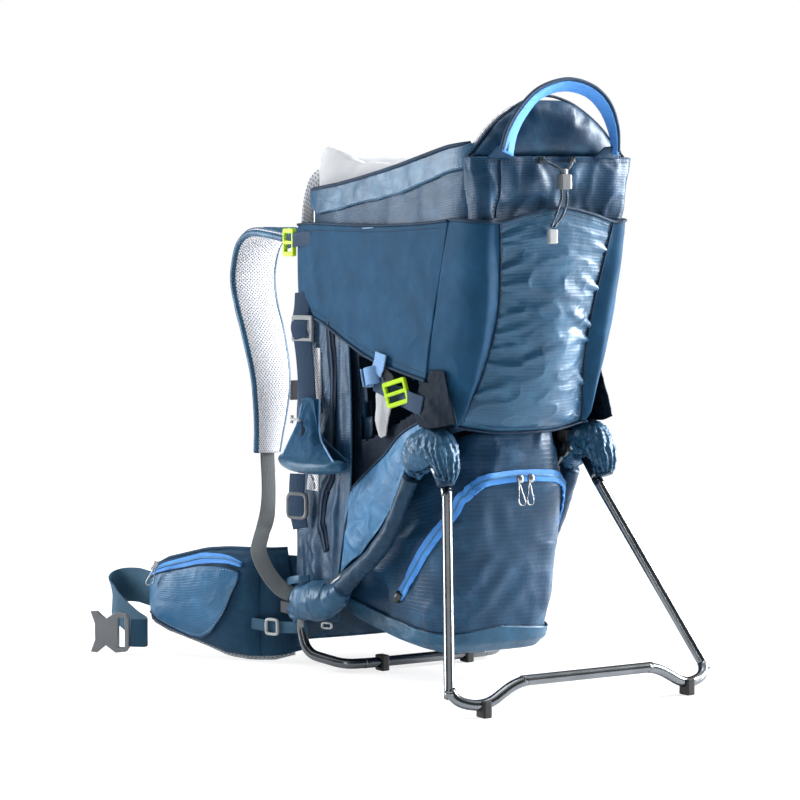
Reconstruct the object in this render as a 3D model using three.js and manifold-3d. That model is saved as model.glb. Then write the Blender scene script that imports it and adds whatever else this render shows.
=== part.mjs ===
// A framed child-carrier backpack, in millimetres. +Z is up, +Y is the way the wearer faces and
// +X is the wearer's right. Names ending in _left lie on the -X side.
import * as THREE from 'three';
import { mergeVertices } from 'three/addons/utils/BufferGeometryUtils.js';
import Module from 'manifold-3d';

const wasm = await Module();
wasm.setup();

// ---- driving dimensions ------------------------------------------------------------------
const GAP = 0.4; // left between pieces that touch
const CENTRE_Y = 189; // moves the whole carrier so that its box is centred on the origin
const TUBE_R = 6.5; // aluminium frame tube
const BASE_Y = 178; // ground bar at the wearer's side
const GROUND_TUBE_Z = 11; // tube centre over the ground, on its feet
const PIVOT = { y: -4, z: 293 }; // kickstand hinge axis, along X
const LEG_TOP_X = 113; // kickstand tube at its hinge
const ARM_TOP_X = 96; // base frame arm at the hinge
const PIN_R = 4;
const BACK_Y = 277; // plane of the inner back frame
const BACK_HALF = 100;
const BACK_TOP = 632;
const WALL = 14; // padded cockpit wall
const SEAT_FLOOR = 346;
const SEAM_Z = 650; // seam under the headrest
const DOME_TOP = 723;
const HANDLE_TOP = 740;
const WEBBING = 2.4; // webbing thickness
const CORD_R = 1.5;

// ---- shape helpers -----------------------------------------------------------------------
const V = (x, y, z) => new THREE.Vector3(x, y, z);

// A geometry with its shared vertices merged and its faces pointing out.
function closed(geometry) {
  let g = geometry.index ? geometry : geometry.clone();
  g.deleteAttribute('normal');
  g.deleteAttribute('uv');
  g = mergeVertices(g, 1e-3);
  const p = g.attributes.position;
  const index = g.index.array;
  const [a, b, c] = [V(), V(), V()];
  let volume = 0;
  for (let i = 0; i < index.length; i += 3) {
    a.fromBufferAttribute(p, index[i]);
    b.fromBufferAttribute(p, index[i + 1]);
    c.fromBufferAttribute(p, index[i + 2]);
    volume += a.dot(b.cross(c));
  }
  if (volume < 0) {
    for (let i = 0; i < index.length; i += 3) {
      [index[i + 1], index[i + 2]] = [index[i + 2], index[i + 1]];
    }
  }
  return g;
}

function solid(geometry) {
  const g = closed(geometry);
  const mesh = new wasm.Mesh({
    numProp: 3,
    vertProperties: new Float32Array(g.attributes.position.array),
    triVerts: new Uint32Array(g.index.array),
  });
  return new wasm.Manifold(mesh);
}

function geometryOf(manifold) {
  const mesh = manifold.getMesh();
  const g = new THREE.BufferGeometry();
  const count = mesh.vertProperties.length / mesh.numProp;
  const position = new Float32Array(count * 3);
  for (let i = 0; i < count; i++) {
    for (let k = 0; k < 3; k++) position[3 * i + k] = mesh.vertProperties[i * mesh.numProp + k];
  }
  g.setAttribute('position', new THREE.BufferAttribute(position, 3));
  g.setIndex(new THREE.BufferAttribute(new Uint32Array(mesh.triVerts), 1));
  return g;
}

const moved = (geometry, x, y, z) => geometry.clone().translate(x, y, z);

// The same geometry on the other side of the carrier.
const mirrored = (geometry) => closed(geometry.clone().scale(-1, 1, 1));

// Stations along a polyline whose corners are rounded: points are [x, y, z, corner radius].
function roundedPath(points, segments = 4) {
  const out = [V(...points[0])];
  for (let i = 1; i < points.length - 1; i++) {
    const corner = V(...points[i]);
    const toPrev = V(...points[i - 1]).sub(corner);
    const toNext = V(...points[i + 1]).sub(corner);
    const angle = toPrev.angleTo(toNext);
    const cut = Math.min((points[i][3] ?? 20) / Math.tan(angle / 2),
      0.48 * toPrev.length(), 0.48 * toNext.length());
    const start = corner.clone().addScaledVector(toPrev.normalize(), cut);
    const end = corner.clone().addScaledVector(toNext.normalize(), cut);
    const curve = new THREE.QuadraticBezierCurve3(start, corner, end);
    out.push(...curve.getPoints(segments));
  }
  out.push(V(...points.at(-1)));
  return out;
}

// A curve that steps exactly from one station to the next.
class StationCurve extends THREE.Curve {
  constructor(stations) {
    super();
    this.stations = stations;
  }
  getPoint(t) {
    const s = Math.min(Math.max(t, 0), 1) * (this.stations.length - 1);
    const i = Math.min(Math.floor(s), this.stations.length - 2);
    return this.stations[i].clone().lerp(this.stations[i + 1], s - i);
  }
  getUtoTmapping(u) {
    return u;
  }
}

function circle(radius, sides) {
  const shape = new THREE.Shape();
  for (let i = 0; i < sides; i++) {
    const a = (2 * Math.PI * i) / sides;
    shape[i ? 'lineTo' : 'moveTo'](radius * Math.cos(a), radius * Math.sin(a));
  }
  return shape;
}

function tube(stations, radius = TUBE_R, sides = 10) {
  return new THREE.ExtrudeGeometry(circle(radius, sides), {
    extrudePath: new StationCurve(stations), steps: stations.length - 1, bevelEnabled: false,
  });
}

function polygon(points) {
  return new THREE.Shape(points.map(([x, y]) => new THREE.Vector2(x, y)));
}

function roundedRect(w, h, r) {
  const s = new THREE.Shape();
  s.moveTo(-w / 2 + r, -h / 2);
  s.lineTo(w / 2 - r, -h / 2).quadraticCurveTo(w / 2, -h / 2, w / 2, -h / 2 + r);
  s.lineTo(w / 2, h / 2 - r).quadraticCurveTo(w / 2, h / 2, w / 2 - r, h / 2);
  s.lineTo(-w / 2 + r, h / 2).quadraticCurveTo(-w / 2, h / 2, -w / 2, h / 2 - r);
  s.lineTo(-w / 2, -h / 2 + r).quadraticCurveTo(-w / 2, -h / 2, -w / 2 + r, -h / 2);
  return s;
}

// An outline drawn in (first, second) axes and given a thickness centred on the third axis.
function plate(shape, thickness, normal = 'z', bevel = 0, curveSegments = 3) {
  const g = new THREE.ExtrudeGeometry(shape, {
    depth: thickness - 2 * bevel, steps: 1, curveSegments,
    bevelEnabled: bevel > 0, bevelThickness: bevel, bevelSize: bevel, bevelOffset: -bevel,
    bevelSegments: 1,
  });
  g.translate(0, 0, -(thickness - 2 * bevel) / 2);
  if (normal === 'y') g.rotateX(Math.PI / 2); // outline in (x, z)
  if (normal === 'x') g.rotateX(Math.PI / 2).rotateZ(Math.PI / 2); // outline in (y, z)
  return g;
}

// A box with rounded upright edges and a small bevel.
function block(w, d, h, r = 2) {
  const corner = Math.min(r, 0.4 * w, 0.4 * d);
  return plate(roundedRect(w, d, corner), h, 'z', Math.min(1, w / 6, d / 6, h / 6), 2);
}

const signedPower = (value, power) => Math.sign(value) * Math.abs(value) ** power;

// A loft through level sections. Each is a squarish ring whose half-width may differ between its
// rear and front edges, and whose height may too.
function loft(sections, radial = 28, squareness = 5) {
  const g = new THREE.CylinderGeometry(1, 1, 1, radial, sections.length - 1);
  const p = g.attributes.position;
  for (let i = 0; i < p.count; i++) {
    const s = sections[Math.round((p.getY(i) + 0.5) * (sections.length - 1))];
    const angle = Math.atan2(p.getX(i), p.getZ(i));
    const onRim = Math.hypot(p.getX(i), p.getZ(i)) > 0.5;
    const u = onRim ? signedPower(Math.sin(angle), 2 / squareness) : 0;
    const v = onRim ? signedPower(Math.cos(angle), 2 / squareness) : 0;
    const along = (v + 1) / 2;
    const half = THREE.MathUtils.lerp(s.rearHalf, s.frontHalf, along);
    const z = THREE.MathUtils.lerp(s.zRear ?? s.z, s.zFront ?? s.z, along);
    p.setXYZ(i, (s.x ?? 0) + u * half, THREE.MathUtils.lerp(s.rear, s.front, along), z);
  }
  return g;
}

// The same sections moved out (or, with a negative amount, in) at the sides, rear and front.
function offset(sections, side, rear = side, front = side) {
  return sections.map((s) => ({
    ...s,
    rear: s.rear - rear,
    front: s.front + front,
    rearHalf: s.rearHalf + side,
    frontHalf: s.frontHalf + side,
  }));
}

// A strip of rectangular section through stations {at, across}: across is the width direction.
function strip(stations, width, thickness) {
  const g = new THREE.BoxGeometry(1, 1, 1, 1, 1, stations.length - 1);
  const p = g.attributes.position;
  const last = stations.length - 1;
  for (let i = 0; i < p.count; i++) {
    const k = Math.round((p.getZ(i) + 0.5) * last);
    const along = stations[Math.min(k + 1, last)].at.clone()
      .sub(stations[Math.max(k - 1, 0)].at).normalize();
    const across = stations[k].across.clone().addScaledVector(
      along, -stations[k].across.dot(along)).normalize();
    const normal = along.clone().cross(across);
    const w = stations[k].width ?? width;
    const at = stations[k].at.clone()
      .addScaledVector(across, p.getX(i) * w).addScaledVector(normal, p.getY(i) * thickness);
    p.setXYZ(i, at.x, at.y, at.z);
  }
  return g;
}

const stripOf = (points, across, width, thickness) =>
  strip(points.map((q) => ({ at: V(...q), across: V(...across) })), width, thickness);

// Points on a smooth curve through the given ones.
const smooth = (points, divisions) =>
  new THREE.CatmullRomCurve3(points.map((q) => V(...q)), false, 'centripetal')
    .getSpacedPoints(divisions);

const cut = (geometry, ...tools) => {
  let m = solid(geometry);
  for (const tool of tools) m = m.subtract(solid(tool));
  return geometryOf(m);
};

const join = (geometry, ...others) => {
  let m = solid(geometry);
  for (const other of others) m = m.add(solid(other));
  return geometryOf(m);
};

const common = (a, b) => geometryOf(solid(a).intersect(solid(b)));

// ---- materials ---------------------------------------------------------------------------
const finish = (color, roughness, metalness = 0) =>
  new THREE.MeshStandardMaterial({ color, roughness, metalness });
const MATERIAL = {
  tube: finish(0x9aa0a4, 0.3, 1),
  darkPlastic: finish(0x2a2f34, 0.5),
  greyPlastic: finish(0x8f9496, 0.45),
  lightPlastic: finish(0xc4c8c8, 0.45),
  lime: finish(0xb4dc1e, 0.4),
  ripstop: finish(0x35597d, 0.4),
  stretch: finish(0x2b4c70, 0.75),
  brightBlue: finish(0x4a90dc, 0.6),
  belt: finish(0x2b4f68, 0.6),
  strapWebbing: finish(0x5f6364, 0.7),
  blueWebbing: finish(0x34546a, 0.7),
  mesh: finish(0xd9dade, 0.85),
  lining: finish(0xcfcfd3, 0.8),
  steel: finish(0xb9bcbf, 0.25, 1),
  rubber: finish(0x1c1d1f, 0.85),
};

const carrier = new THREE.Group();
carrier.position.set(0, -CENTRE_Y, 0);

function add(name, geometry, material) {
  const mesh = new THREE.Mesh(closed(geometry), MATERIAL[material]);
  mesh.name = name;
  carrier.add(mesh);
}

// Adds a left piece and its mirror image.
function addPair(name, geometry, material) {
  add(`${name}_left`, geometry, material);
  add(`${name}_right`, mirrored(geometry), material);
}

// ---- frame -------------------------------------------------------------------------------
const bothSides = (half) => [
  ...half, ...half.slice().reverse().map(([x, y, z, r]) => [-x, y, z, r])];

const kickPath = roundedPath(bothSides([
  [-LEG_TOP_X, PIVOT.y + 7, PIVOT.z + 7],
  [-LEG_TOP_X, -44, 250, 60],
  [-190, -167, 22, 46],
  [-149, -178, GROUND_TUBE_Z, 50],
  [-101, -177, 38, 72],
]));

const armPath = roundedPath(bothSides([
  [-ARM_TOP_X, PIVOT.y - 9, PIVOT.z + 3],
  [-ARM_TOP_X, PIVOT.y + 8, PIVOT.z - 3, 20],
  [-110, 50, 258, 26],
  [-116, 58, 204, 50],
  [-128, 128, 146, 60],
  [-138, 216, 96, 50],
  [-143, 254, 62, 26],
  [-141, 240, 20, 30],
  [-118, 184, GROUND_TUBE_Z, 36],
  [-84, BASE_Y, GROUND_TUBE_Z, 20],
]));

const backPath = roundedPath([
  [-BACK_HALF, BACK_Y, 74],
  [-BACK_HALF, BACK_Y, BACK_TOP, 60],
  [BACK_HALF, BACK_Y, BACK_TOP, 60],
  [BACK_HALF, BACK_Y, 74],
], 5);

const pinHole = tube([V(-150, PIVOT.y, PIVOT.z), V(150, PIVOT.y, PIVOT.z)], PIN_R + 0.35, 12);
const kickBore = tube(kickPath, TUBE_R + GAP);
const armBore = tube(armPath, TUBE_R + GAP);
const backBore = tube(backPath, TUBE_R + GAP);

add('kickstand_tube', cut(tube(kickPath), pinHole), 'tube');
add('base_frame_tube', cut(tube(armPath), pinHole), 'tube');
add('back_frame_tube', tube(backPath), 'tube');

// Hinge housing: two cheeks and a web over the pin, open below so that the leg can swing.
const CHEEK_OUT = LEG_TOP_X + TUBE_R + 1.2;
const CHEEK_IN = ARM_TOP_X - TUBE_R - 1.2;
const CHEEK = 4;
const cheek = (x) => moved(plate(circle(13, 14), CHEEK, 'x'), x, PIVOT.y, PIVOT.z);
const web = moved(block(CHEEK_OUT - CHEEK_IN + 2 * CHEEK, 20, 5, 1),
  -(CHEEK_OUT + CHEEK_IN) / 2, PIVOT.y, PIVOT.z + 19);
const cheekTop = (x) => moved(block(CHEEK, 20, 16, 1), x, PIVOT.y, PIVOT.z + 12);
const housing = cut(join(cheek(-CHEEK_OUT - CHEEK / 2), cheek(-CHEEK_IN + CHEEK / 2), web,
  cheekTop(-CHEEK_OUT - CHEEK / 2), cheekTop(-CHEEK_IN + CHEEK / 2)), pinHole);
addPair('hinge_bracket', housing, 'darkPlastic');

const PIN_OUT = CHEEK_OUT + CHEEK;
const PIN_IN = CHEEK_IN - CHEEK;
const pin = tube([V(-PIN_OUT - 1, PIVOT.y, PIVOT.z), V(-PIN_IN + 1, PIVOT.y, PIVOT.z)], PIN_R, 12);
const pinHead = (x) => moved(plate(circle(7, 12), 1.6, 'x'), x, PIVOT.y, PIVOT.z);
addPair('hinge_pin', join(pin, pinHead(-PIN_OUT - 1.2), pinHead(-PIN_IN + 1.2)), 'steel');

// Feet: blocks that clip round the tubes where they meet the ground.
const footBlock = (x, y) => moved(block(12, 18, 20, 2.5), x, y, 10);
addPair('kickstand_foot', cut(footBlock(-149, -178), kickBore), 'rubber');
addPair('base_foot', cut(footBlock(-65, BASE_Y), armBore), 'rubber');

// Clamps that join the inner back frame to the base frame.
addPair('frame_clamp', cut(moved(block(64, 48, 16, 4), -121, 264, 76), armBore, backBore),
  'darkPlastic');

// ---- cockpit -----------------------------------------------------------------------------
const shellSections = [
  { zRear: 324, zFront: 240, rear: -30, front: 258, rearHalf: 76, frontHalf: 112 },
  { zRear: 352, zFront: 290, rear: -46, front: 261, rearHalf: 94, frontHalf: 119 },
  { zRear: 400, zFront: 372, rear: -62, front: 265, rearHalf: 106, frontHalf: 123 },
  { z: 460, rear: -76, front: 266, rearHalf: 113, frontHalf: 125 },
  { z: 540, rear: -90, front: 267, rearHalf: 118, frontHalf: 126 },
  { z: 590, rear: -98, front: 268, rearHalf: 118, frontHalf: 127 },
  { zFront: 607, zRear: SEAM_Z, rear: -104, front: 268, rearHalf: 116, frontHalf: 126 },
];
const insideSections = offset(shellSections, -WALL).slice(1).map((s, i, all) => ({
  ...s,
  ...(i === 0 ? { zFront: 262, zRear: SEAT_FLOOR } : {}),
  ...(i === all.length - 1 ? { zFront: 614, zRear: SEAM_Z + 8 } : {}),
}));
const legHole = new THREE.Shape();
legHole.moveTo(8, 362).lineTo(40, 342).lineTo(140, 286).lineTo(158, 292);
legHole.lineTo(158, 418).lineTo(105, 396).lineTo(30, 380).lineTo(8, 376);
add('cockpit_shell', cut(loft(shellSections), loft(insideSections), plate(legHole, 320, 'x')),
  'ripstop');

// Headrest: a padded dome on the rear rim.
const DOME_BASE = SEAM_Z + 1;
const domeHalf = [[114, DOME_BASE], [97, 668], [80, 685], [58, 702], [32, 716], [11, DOME_TOP]];
const dome = polygon([...domeHalf, ...domeHalf.toReversed().map(([x, z]) => [-x, z])]);
add('headrest', moved(plate(dome, 32, 'y', 6), 0, -88, 0), 'ripstop');

// Top handle: a webbing arch with a sewn foot at each end.
const HANDLE_HALF = 78;
const HANDLE_W = 22;
const HANDLE_Y = -128;
const arch = new THREE.Shape();
arch.moveTo(-HANDLE_HALF - 3, 655);
arch.bezierCurveTo(-HANDLE_HALF + 4, 712, -48, HANDLE_TOP, 0, HANDLE_TOP);
arch.bezierCurveTo(48, HANDLE_TOP, HANDLE_HALF - 4, 712, HANDLE_HALF + 3, 655);
arch.lineTo(HANDLE_HALF - 3, 655);
arch.bezierCurveTo(HANDLE_HALF - 10, 706, 42, HANDLE_TOP - 6, 0, HANDLE_TOP - 6);
arch.bezierCurveTo(-42, HANDLE_TOP - 6, -HANDLE_HALF + 10, 706, -HANDLE_HALF + 3, 655);
const handleFoot = (x) => moved(block(14, 26, 14, 2), x, HANDLE_Y + 9, 661);
add('top_handle', join(moved(plate(arch, HANDLE_W, 'y', 0, 10), 0, HANDLE_Y, 0),
  handleFoot(-HANDLE_HALF), handleFoot(HANDLE_HALF)), 'brightBlue');

// Seat, back pad and chin pad inside the cockpit.
const seatShape = new THREE.Shape();
seatShape.moveTo(-68, -17).lineTo(68, -17).lineTo(72, 26).lineTo(48, 60).lineTo(44, 140);
seatShape.lineTo(-44, 140).lineTo(-48, 60).lineTo(-72, 26);
add('child_seat', moved(plate(seatShape, 26, 'z', 4), 0, 0, 392), 'lining');
add('seat_back_pad', stripOf([[0, -20, 412], [0, -38, 470], [0, -56, 560], [0, -62, 600]],
  [1, 0, 0], 150, 20), 'lining');

const chinPath = roundedPath([
  [-85, -34, 612], [-85, 231, 612, 70], [85, 231, 612, 70], [85, -34, 612]], 6);
add('chin_pad', strip(chinPath.map((at) => ({ at, across: V(0, 0, 1) })), 96, 26), 'lining');

// Harness over the seat.
const harnessPath = smooth([[-42, -41, 575], [-42, -22, 500], [-37, 0, 445], [-24, 24, 414]], 8);
addPair('harness_strap', strip(harnessPath.map((at) => ({ at, across: V(1, 0, 0) })), 30, 8),
  'stretch');
add('harness_buckle', cut(moved(block(46, 44, 13, 6), 0, 60, 413), moved(block(17, 17, 30, 4), 0, 60, 424)),
  'greyPlastic');
add('harness_buckle_button', moved(block(16, 16, 8, 4), 0, 60, 418.6), 'lime');

// ---- storage -----------------------------------------------------------------------------
const bagSections = [
  { zRear: 44, zFront: 74, rear: 16, front: 172, rearHalf: 74, frontHalf: 92 },
  { zRear: 54, zFront: 96, rear: 3, front: 220, rearHalf: 88, frontHalf: 104 },
  { zRear: 100, zFront: 130, rear: -6, front: 252, rearHalf: 94, frontHalf: 112 },
  { zRear: 180, zFront: 166, rear: -24, front: 256, rearHalf: 91, frontHalf: 116 },
  { zRear: 250, zFront: 202, rear: -42, front: 258, rearHalf: 84, frontHalf: 114 },
  { zRear: 316, zFront: 230, rear: -36, front: 256, rearHalf: 66, frontHalf: 110 },
];
const HINGE_ROOM = 78; // half-width left between the hinges
const hingeRoom = (side) => moved(block(120, 92, 84, 8),
  side * (HINGE_ROOM + 60), PIVOT.y, PIVOT.z);
add('storage_bag', cut(loft(bagSections), hingeRoom(-1), hingeRoom(1)), 'ripstop');

// Front pouch: a stretch panel that stands off the cockpit's rear wall, open at the top.
const pouchSections = [
  { z: 324, rear: -44, front: -6, rearHalf: 76, frontHalf: 84 },
  { z: 340, rear: -70, front: -20, rearHalf: 88, frontHalf: 102 },
  { z: 380, rear: -88, front: -34, rearHalf: 98, frontHalf: 117 },
  { z: 460, rear: -101, front: -50, rearHalf: 106, frontHalf: 124 },
  { z: 540, rear: -112, front: -58, rearHalf: 112, frontHalf: 127 },
  { zRear: 588, zFront: 574, rear: -118, front: -64, rearHalf: 113, frontHalf: 128 },
];
const pouchRoom = [
  { z: 356, rear: -72, front: 40, rearHalf: 84, frontHalf: 96 },
  { z: 400, rear: -86, front: 40, rearHalf: 92, frontHalf: 102 },
  { z: 460, rear: -96, front: 40, rearHalf: 98, frontHalf: 106 },
  { z: 540, rear: -108, front: 40, rearHalf: 104, frontHalf: 108 },
  { z: 606, rear: -114.5, front: 40, rearHalf: 104, frontHalf: 108 },
];
const pouch = cut(loft(pouchSections), loft(offset(shellSections, 0.8)), loft(pouchRoom),
  hingeRoom(-1), hingeRoom(1));
add('front_pocket', pouch, 'stretch');

// Side pockets: stretch panels that lie against the cockpit's sides.
const sideOutline = polygon([
  [258, 572], [-50, 574], [-46, 500], [-20, 388], [105, 406], [215, 448], [258, 490]]);
const sidePocket = (side) => cut(
  common(loft(offset(shellSections, 7)), moved(plate(sideOutline, 60, 'x'), side * 130, 0, 0)),
  loft(offset(shellSections, 0.6)), loft(offset(pouchSections, 0.8)));
add('side_pocket_left', sidePocket(-1), 'stretch');
add('side_pocket_right', sidePocket(1), 'stretch');

// ---- back and hips -----------------------------------------------------------------------
const backPanel = moved(plate(roundedRect(232, 524, 42), 14, 'y', 3, 4), 0, 293, 384);
add('back_panel', backPanel, 'mesh');
const lumbar = moved(plate(roundedRect(216, 116, 30), 16, 'y', 4, 4), 0, 310, 88);
add('lumbar_pad', lumbar, 'belt');

// Hip wing: a pad that leaves the lumbar region and splays out round the wearer.
const wingStations = [
  [-124, 298, 14, 148], [-147, 309, 8, 147], [-166, 336, 6, 146], [-181, 367, 8, 145],
  [-195, 402, 18, 141], [-208, 436, 26, 132], [-218, 466, 32, 124], [-224, 492, 40, 112]];
const wingStrip = (side, lift, thickness, from, to, trim = 0) => strip(
  wingStations.slice(from, to).map(([x, y, low, high], i, all) => {
    const next = all[Math.min(i + 1, all.length - 1)];
    const back = all[Math.max(i - 1, 0)];
    const normal = V(-(next[1] - back[1]), next[0] - back[0], 0).normalize();
    const shrink = trim * (0.35 + 0.65 * Math.abs(2 * i / (all.length - 1) - 1) ** 2);
    return {
      at: V(side * -x, y, (low + high) / 2).addScaledVector(
        V(side * -normal.x, normal.y, 0), lift),
      across: V(0, 0, 1),
      width: high - low - 2 * shrink,
    };
  }), 100, thickness);
add('hip_wing_left', wingStrip(-1, 0, 14, 0, 8), 'belt');
add('hip_wing_right', wingStrip(1, 0, 14, 0, 8), 'belt');
add('hip_pocket', wingStrip(-1, 18, 20, 3, 8, 12), 'ripstop');

// Hip webbing: out of the wing tip, once round, and forward again to the buckle.
const webPoints = [
  [-226, 502, 80], [-231, 534, 82], [-242, 558, 79], [-256, 556, 69], [-262, 532, 54],
  [-256, 496, 37], [-251, 470, 29], [-257, 458, 27], [-270, 462, 28]];
const hipWebbing = stripOf(smooth(webPoints, 16).map((q) => q.toArray()), [0, 0, 1], 38, WEBBING);
addPair('hip_webbing', hipWebbing, 'blueWebbing');

// Side-release buckle: a plug on the left webbing and its socket on the right.
const BUCKLE_Y = 487;
const plug = new THREE.Shape();
plug.moveTo(-28, -19).lineTo(-24, -25).lineTo(-9, -27).lineTo(5, -17.5).lineTo(17, -27.5);
plug.lineTo(26, -27).lineTo(20, -11).lineTo(20, 11).lineTo(26, 27).lineTo(17, 27.5).lineTo(5, 17.5);
plug.lineTo(-9, 27).lineTo(-24, 25).lineTo(-28, 19);
plug.holes.push(new THREE.Path([[-22, -19.5], [-13, -19.5], [-13, 19.5], [-22, 19.5]].map(
  ([a, b]) => new THREE.Vector2(a, b))));
const BUCKLE_TURN = THREE.MathUtils.degToRad(42);
const buckleAt = (geometry) => moved(geometry.rotateZ(BUCKLE_TURN), -297, BUCKLE_Y, 29);
add('hip_buckle_plug', buckleAt(plate(plug, 7, 'x', 1)), 'greyPlastic');
const socketBody = moved(cut(plate(roundedRect(54, 54, 8), 14, 'x', 2),
  moved(block(10, 36, 42, 2), 0, 12, 0), moved(block(30, 9, 40, 2), 0, -19, 0)), 0, 1, 0);
add('hip_buckle_socket', mirrored(buckleAt(socketBody)), 'greyPlastic');

// ---- shoulder straps ---------------------------------------------------------------------
const YOKE_Y = 304.5;
add('shoulder_yoke', moved(plate(roundedRect(190, 70, 16), 6, 'y', 1, 3), 0, YOKE_Y, 540),
  'darkPlastic');
const strapCurve = smooth([
  [-84, 312, 545], [-92, 360, 553], [-97, 405, 555], [-98, 434, 540], [-98, 448, 512],
  [-98, 450, 487], [-98, 440, 455], [-99, 423, 425], [-100, 401, 368], [-101, 399, 320],
  [-103, 405, 265]], 16);
const strapWidth = [56, 60, 62, 62, 62, 61, 60, 60, 58, 58, 57, 55, 52, 48, 42, 36, 32];
addPair('shoulder_strap', strip(strapCurve.map((at, i) => ({
  at, across: V(1, 0, 0), width: strapWidth[i],
})), 60, 13), 'mesh');

const lowerCurve = smooth([
  [-103, 405, 258], [-104, 399, 200], [-106, 391, 150], [-110, 366, 110], [-114, 336, 94]], 10);
addPair('strap_webbing', strip(lowerCurve.map((at) => ({ at, across: V(1, 0, 0) })), 22, WEBBING),
  'strapWebbing');

// Chest strap between the shoulder straps, with its buckle in the middle.
const CHEST_Z = 346;
const CHEST_Y = 404;
const chestHalf = (buckleDepth) => join(
  moved(block(50, WEBBING, 18, 0.8), -36, CHEST_Y, CHEST_Z),
  moved(block(15, 7, 26, 2), -61, CHEST_Y, CHEST_Z),
  moved(block(20, buckleDepth, 24, 3), -10.6, CHEST_Y, CHEST_Z));
add('chest_strap_plug', chestHalf(8), 'darkPlastic');
add('chest_strap_socket', mirrored(chestHalf(10)), 'darkPlastic');

// ---- buckles, stirrups and other hardware ------------------------------------------------
// A ladder lock: a frame with two slots and a bar, its outline in (y, z).
function ladderLock(w, h, t) {
  const s = roundedRect(w, h, 3);
  for (const side of [-1, 1]) {
    const z0 = side * h * 0.2;
    s.holes.push(new THREE.Path([[-1, -1], [1, -1], [1, 1], [-1, 1]].map(([a, b]) =>
      new THREE.Vector2(a * (w / 2 - 4), z0 + b * h * 0.13))));
  }
  return plate(s, t, 'x', 0.8, 2);
}
const LIFTER = V(-133, 294, 545);
addPair('load_lifter_buckle', moved(ladderLock(26, 36, 6), LIFTER.x, LIFTER.y, LIFTER.z), 'lime');
const sideLock = ladderLock(34, 32, 6).rotateX(-0.3).rotateZ(0.4);
addPair('side_entry_buckle', moved(sideLock, -135, 34, 366), 'lime');

// Foot stirrups: ladder lock, webbing and a padded foot cradle.
const STIRRUP_X = -141;
addPair('stirrup_buckle', moved(ladderLock(30, 34, 6).rotateZ(0.5), STIRRUP_X, 248, 436),
  'lightPlastic');
const CRADLE = { x: -152, y: 202 };
const cradleSide = new THREE.Shape();
cradleSide.moveTo(-62, 273).quadraticCurveTo(-44, 258, 0, 254).quadraticCurveTo(44, 253, 62, 262);
cradleSide.lineTo(58, 274).lineTo(22, 286).lineTo(14, 340).lineTo(-14, 346).lineTo(-22, 288);
const cradleBlock = moved(plate(cradleSide, 54, 'x', 3), CRADLE.x, CRADLE.y, 0);
const cradleRoom = moved(block(42, 160, 62, 4), CRADLE.x, CRADLE.y, 300);
const cradleStrap = stripOf([[STIRRUP_X, 246, 414], [STIRRUP_X - 2, 240, 380],
  [STIRRUP_X - 6, 222, 350], [CRADLE.x, CRADLE.y + 4, 338]], [0, 1, 0.2], 18, WEBBING);
addPair('foot_stirrup', join(cut(cradleBlock, cradleRoom), cradleStrap), 'stretch');

// Zip sliders on the storage bag's rear arch and on the hip pocket.
const ZIP_Z = 262;
const ZIP_Y = -47;
const slider = (x) => join(moved(block(8, 6, 12, 2), x, ZIP_Y - 1, ZIP_Z),
  moved(block(7, 2, 26, 1), x, ZIP_Y - 4, ZIP_Z - 17));
add('zip_slider_left', slider(-9), 'steel');
add('zip_slider_right', slider(5), 'steel');
add('hip_zip_slider', moved(block(3, 7, 24, 1).rotateZ(THREE.MathUtils.degToRad(18)), -248, 456, 104),
  'steel');

// Drawcord: two strands from the panel through a cord lock to a pull tab.
const LOCK = { y: -126, z: 624, half: 9 };
const TAB = { x: -17, y: LOCK.y };
const cordPoints = (side) => [
  [side * 22, -110, 651], [side * 19, -116, 646], [side * 12, -122, 641], [side * 6, -125.4, 637],
  [side * 4, LOCK.y, 632], [side * 4, LOCK.y, 622], [side * 4, LOCK.y, 612],
  [side * 4, LOCK.y, 603], [side * 5 - 2, LOCK.y, 594], [side * 5 - 7, LOCK.y, 583],
  [side * 3.6 + TAB.x / 2 - 4, TAB.y, 574], [side * 2.2 + TAB.x, TAB.y, 568]];
const drawcord = (side) => tube(smooth(cordPoints(side), 18), CORD_R, 8);
const cordBore = (side) => tube(smooth(cordPoints(side), 18), CORD_R + GAP, 8);
add('drawcord_left', drawcord(-1), 'darkPlastic');
add('drawcord_right', drawcord(1), 'darkPlastic');
const lockBody = cut(moved(block(17, 11, 2 * LOCK.half, 3), 0, LOCK.y, LOCK.z - 2),
  cordBore(-1), cordBore(1), moved(block(5.2, 8.8, 14, 1.6), 0, LOCK.y, LOCK.z + 6));
add('cord_lock', lockBody, 'darkPlastic');
add('cord_lock_button', moved(block(4.4, 8, 11, 1.6), 0, LOCK.y, LOCK.z + 8), 'lightPlastic');
add('cord_tab', moved(block(13, 6, 17, 2), TAB.x, TAB.y, 557), 'darkPlastic');

export default carrier;
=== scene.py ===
"""The looks of a framed child-carrier backpack: fabric, webbing, zips, tube and floor."""
import bisect
import math
from functools import partial
import bpy
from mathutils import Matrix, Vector, noise
from mathutils.bvhtree import BVHTree


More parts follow.
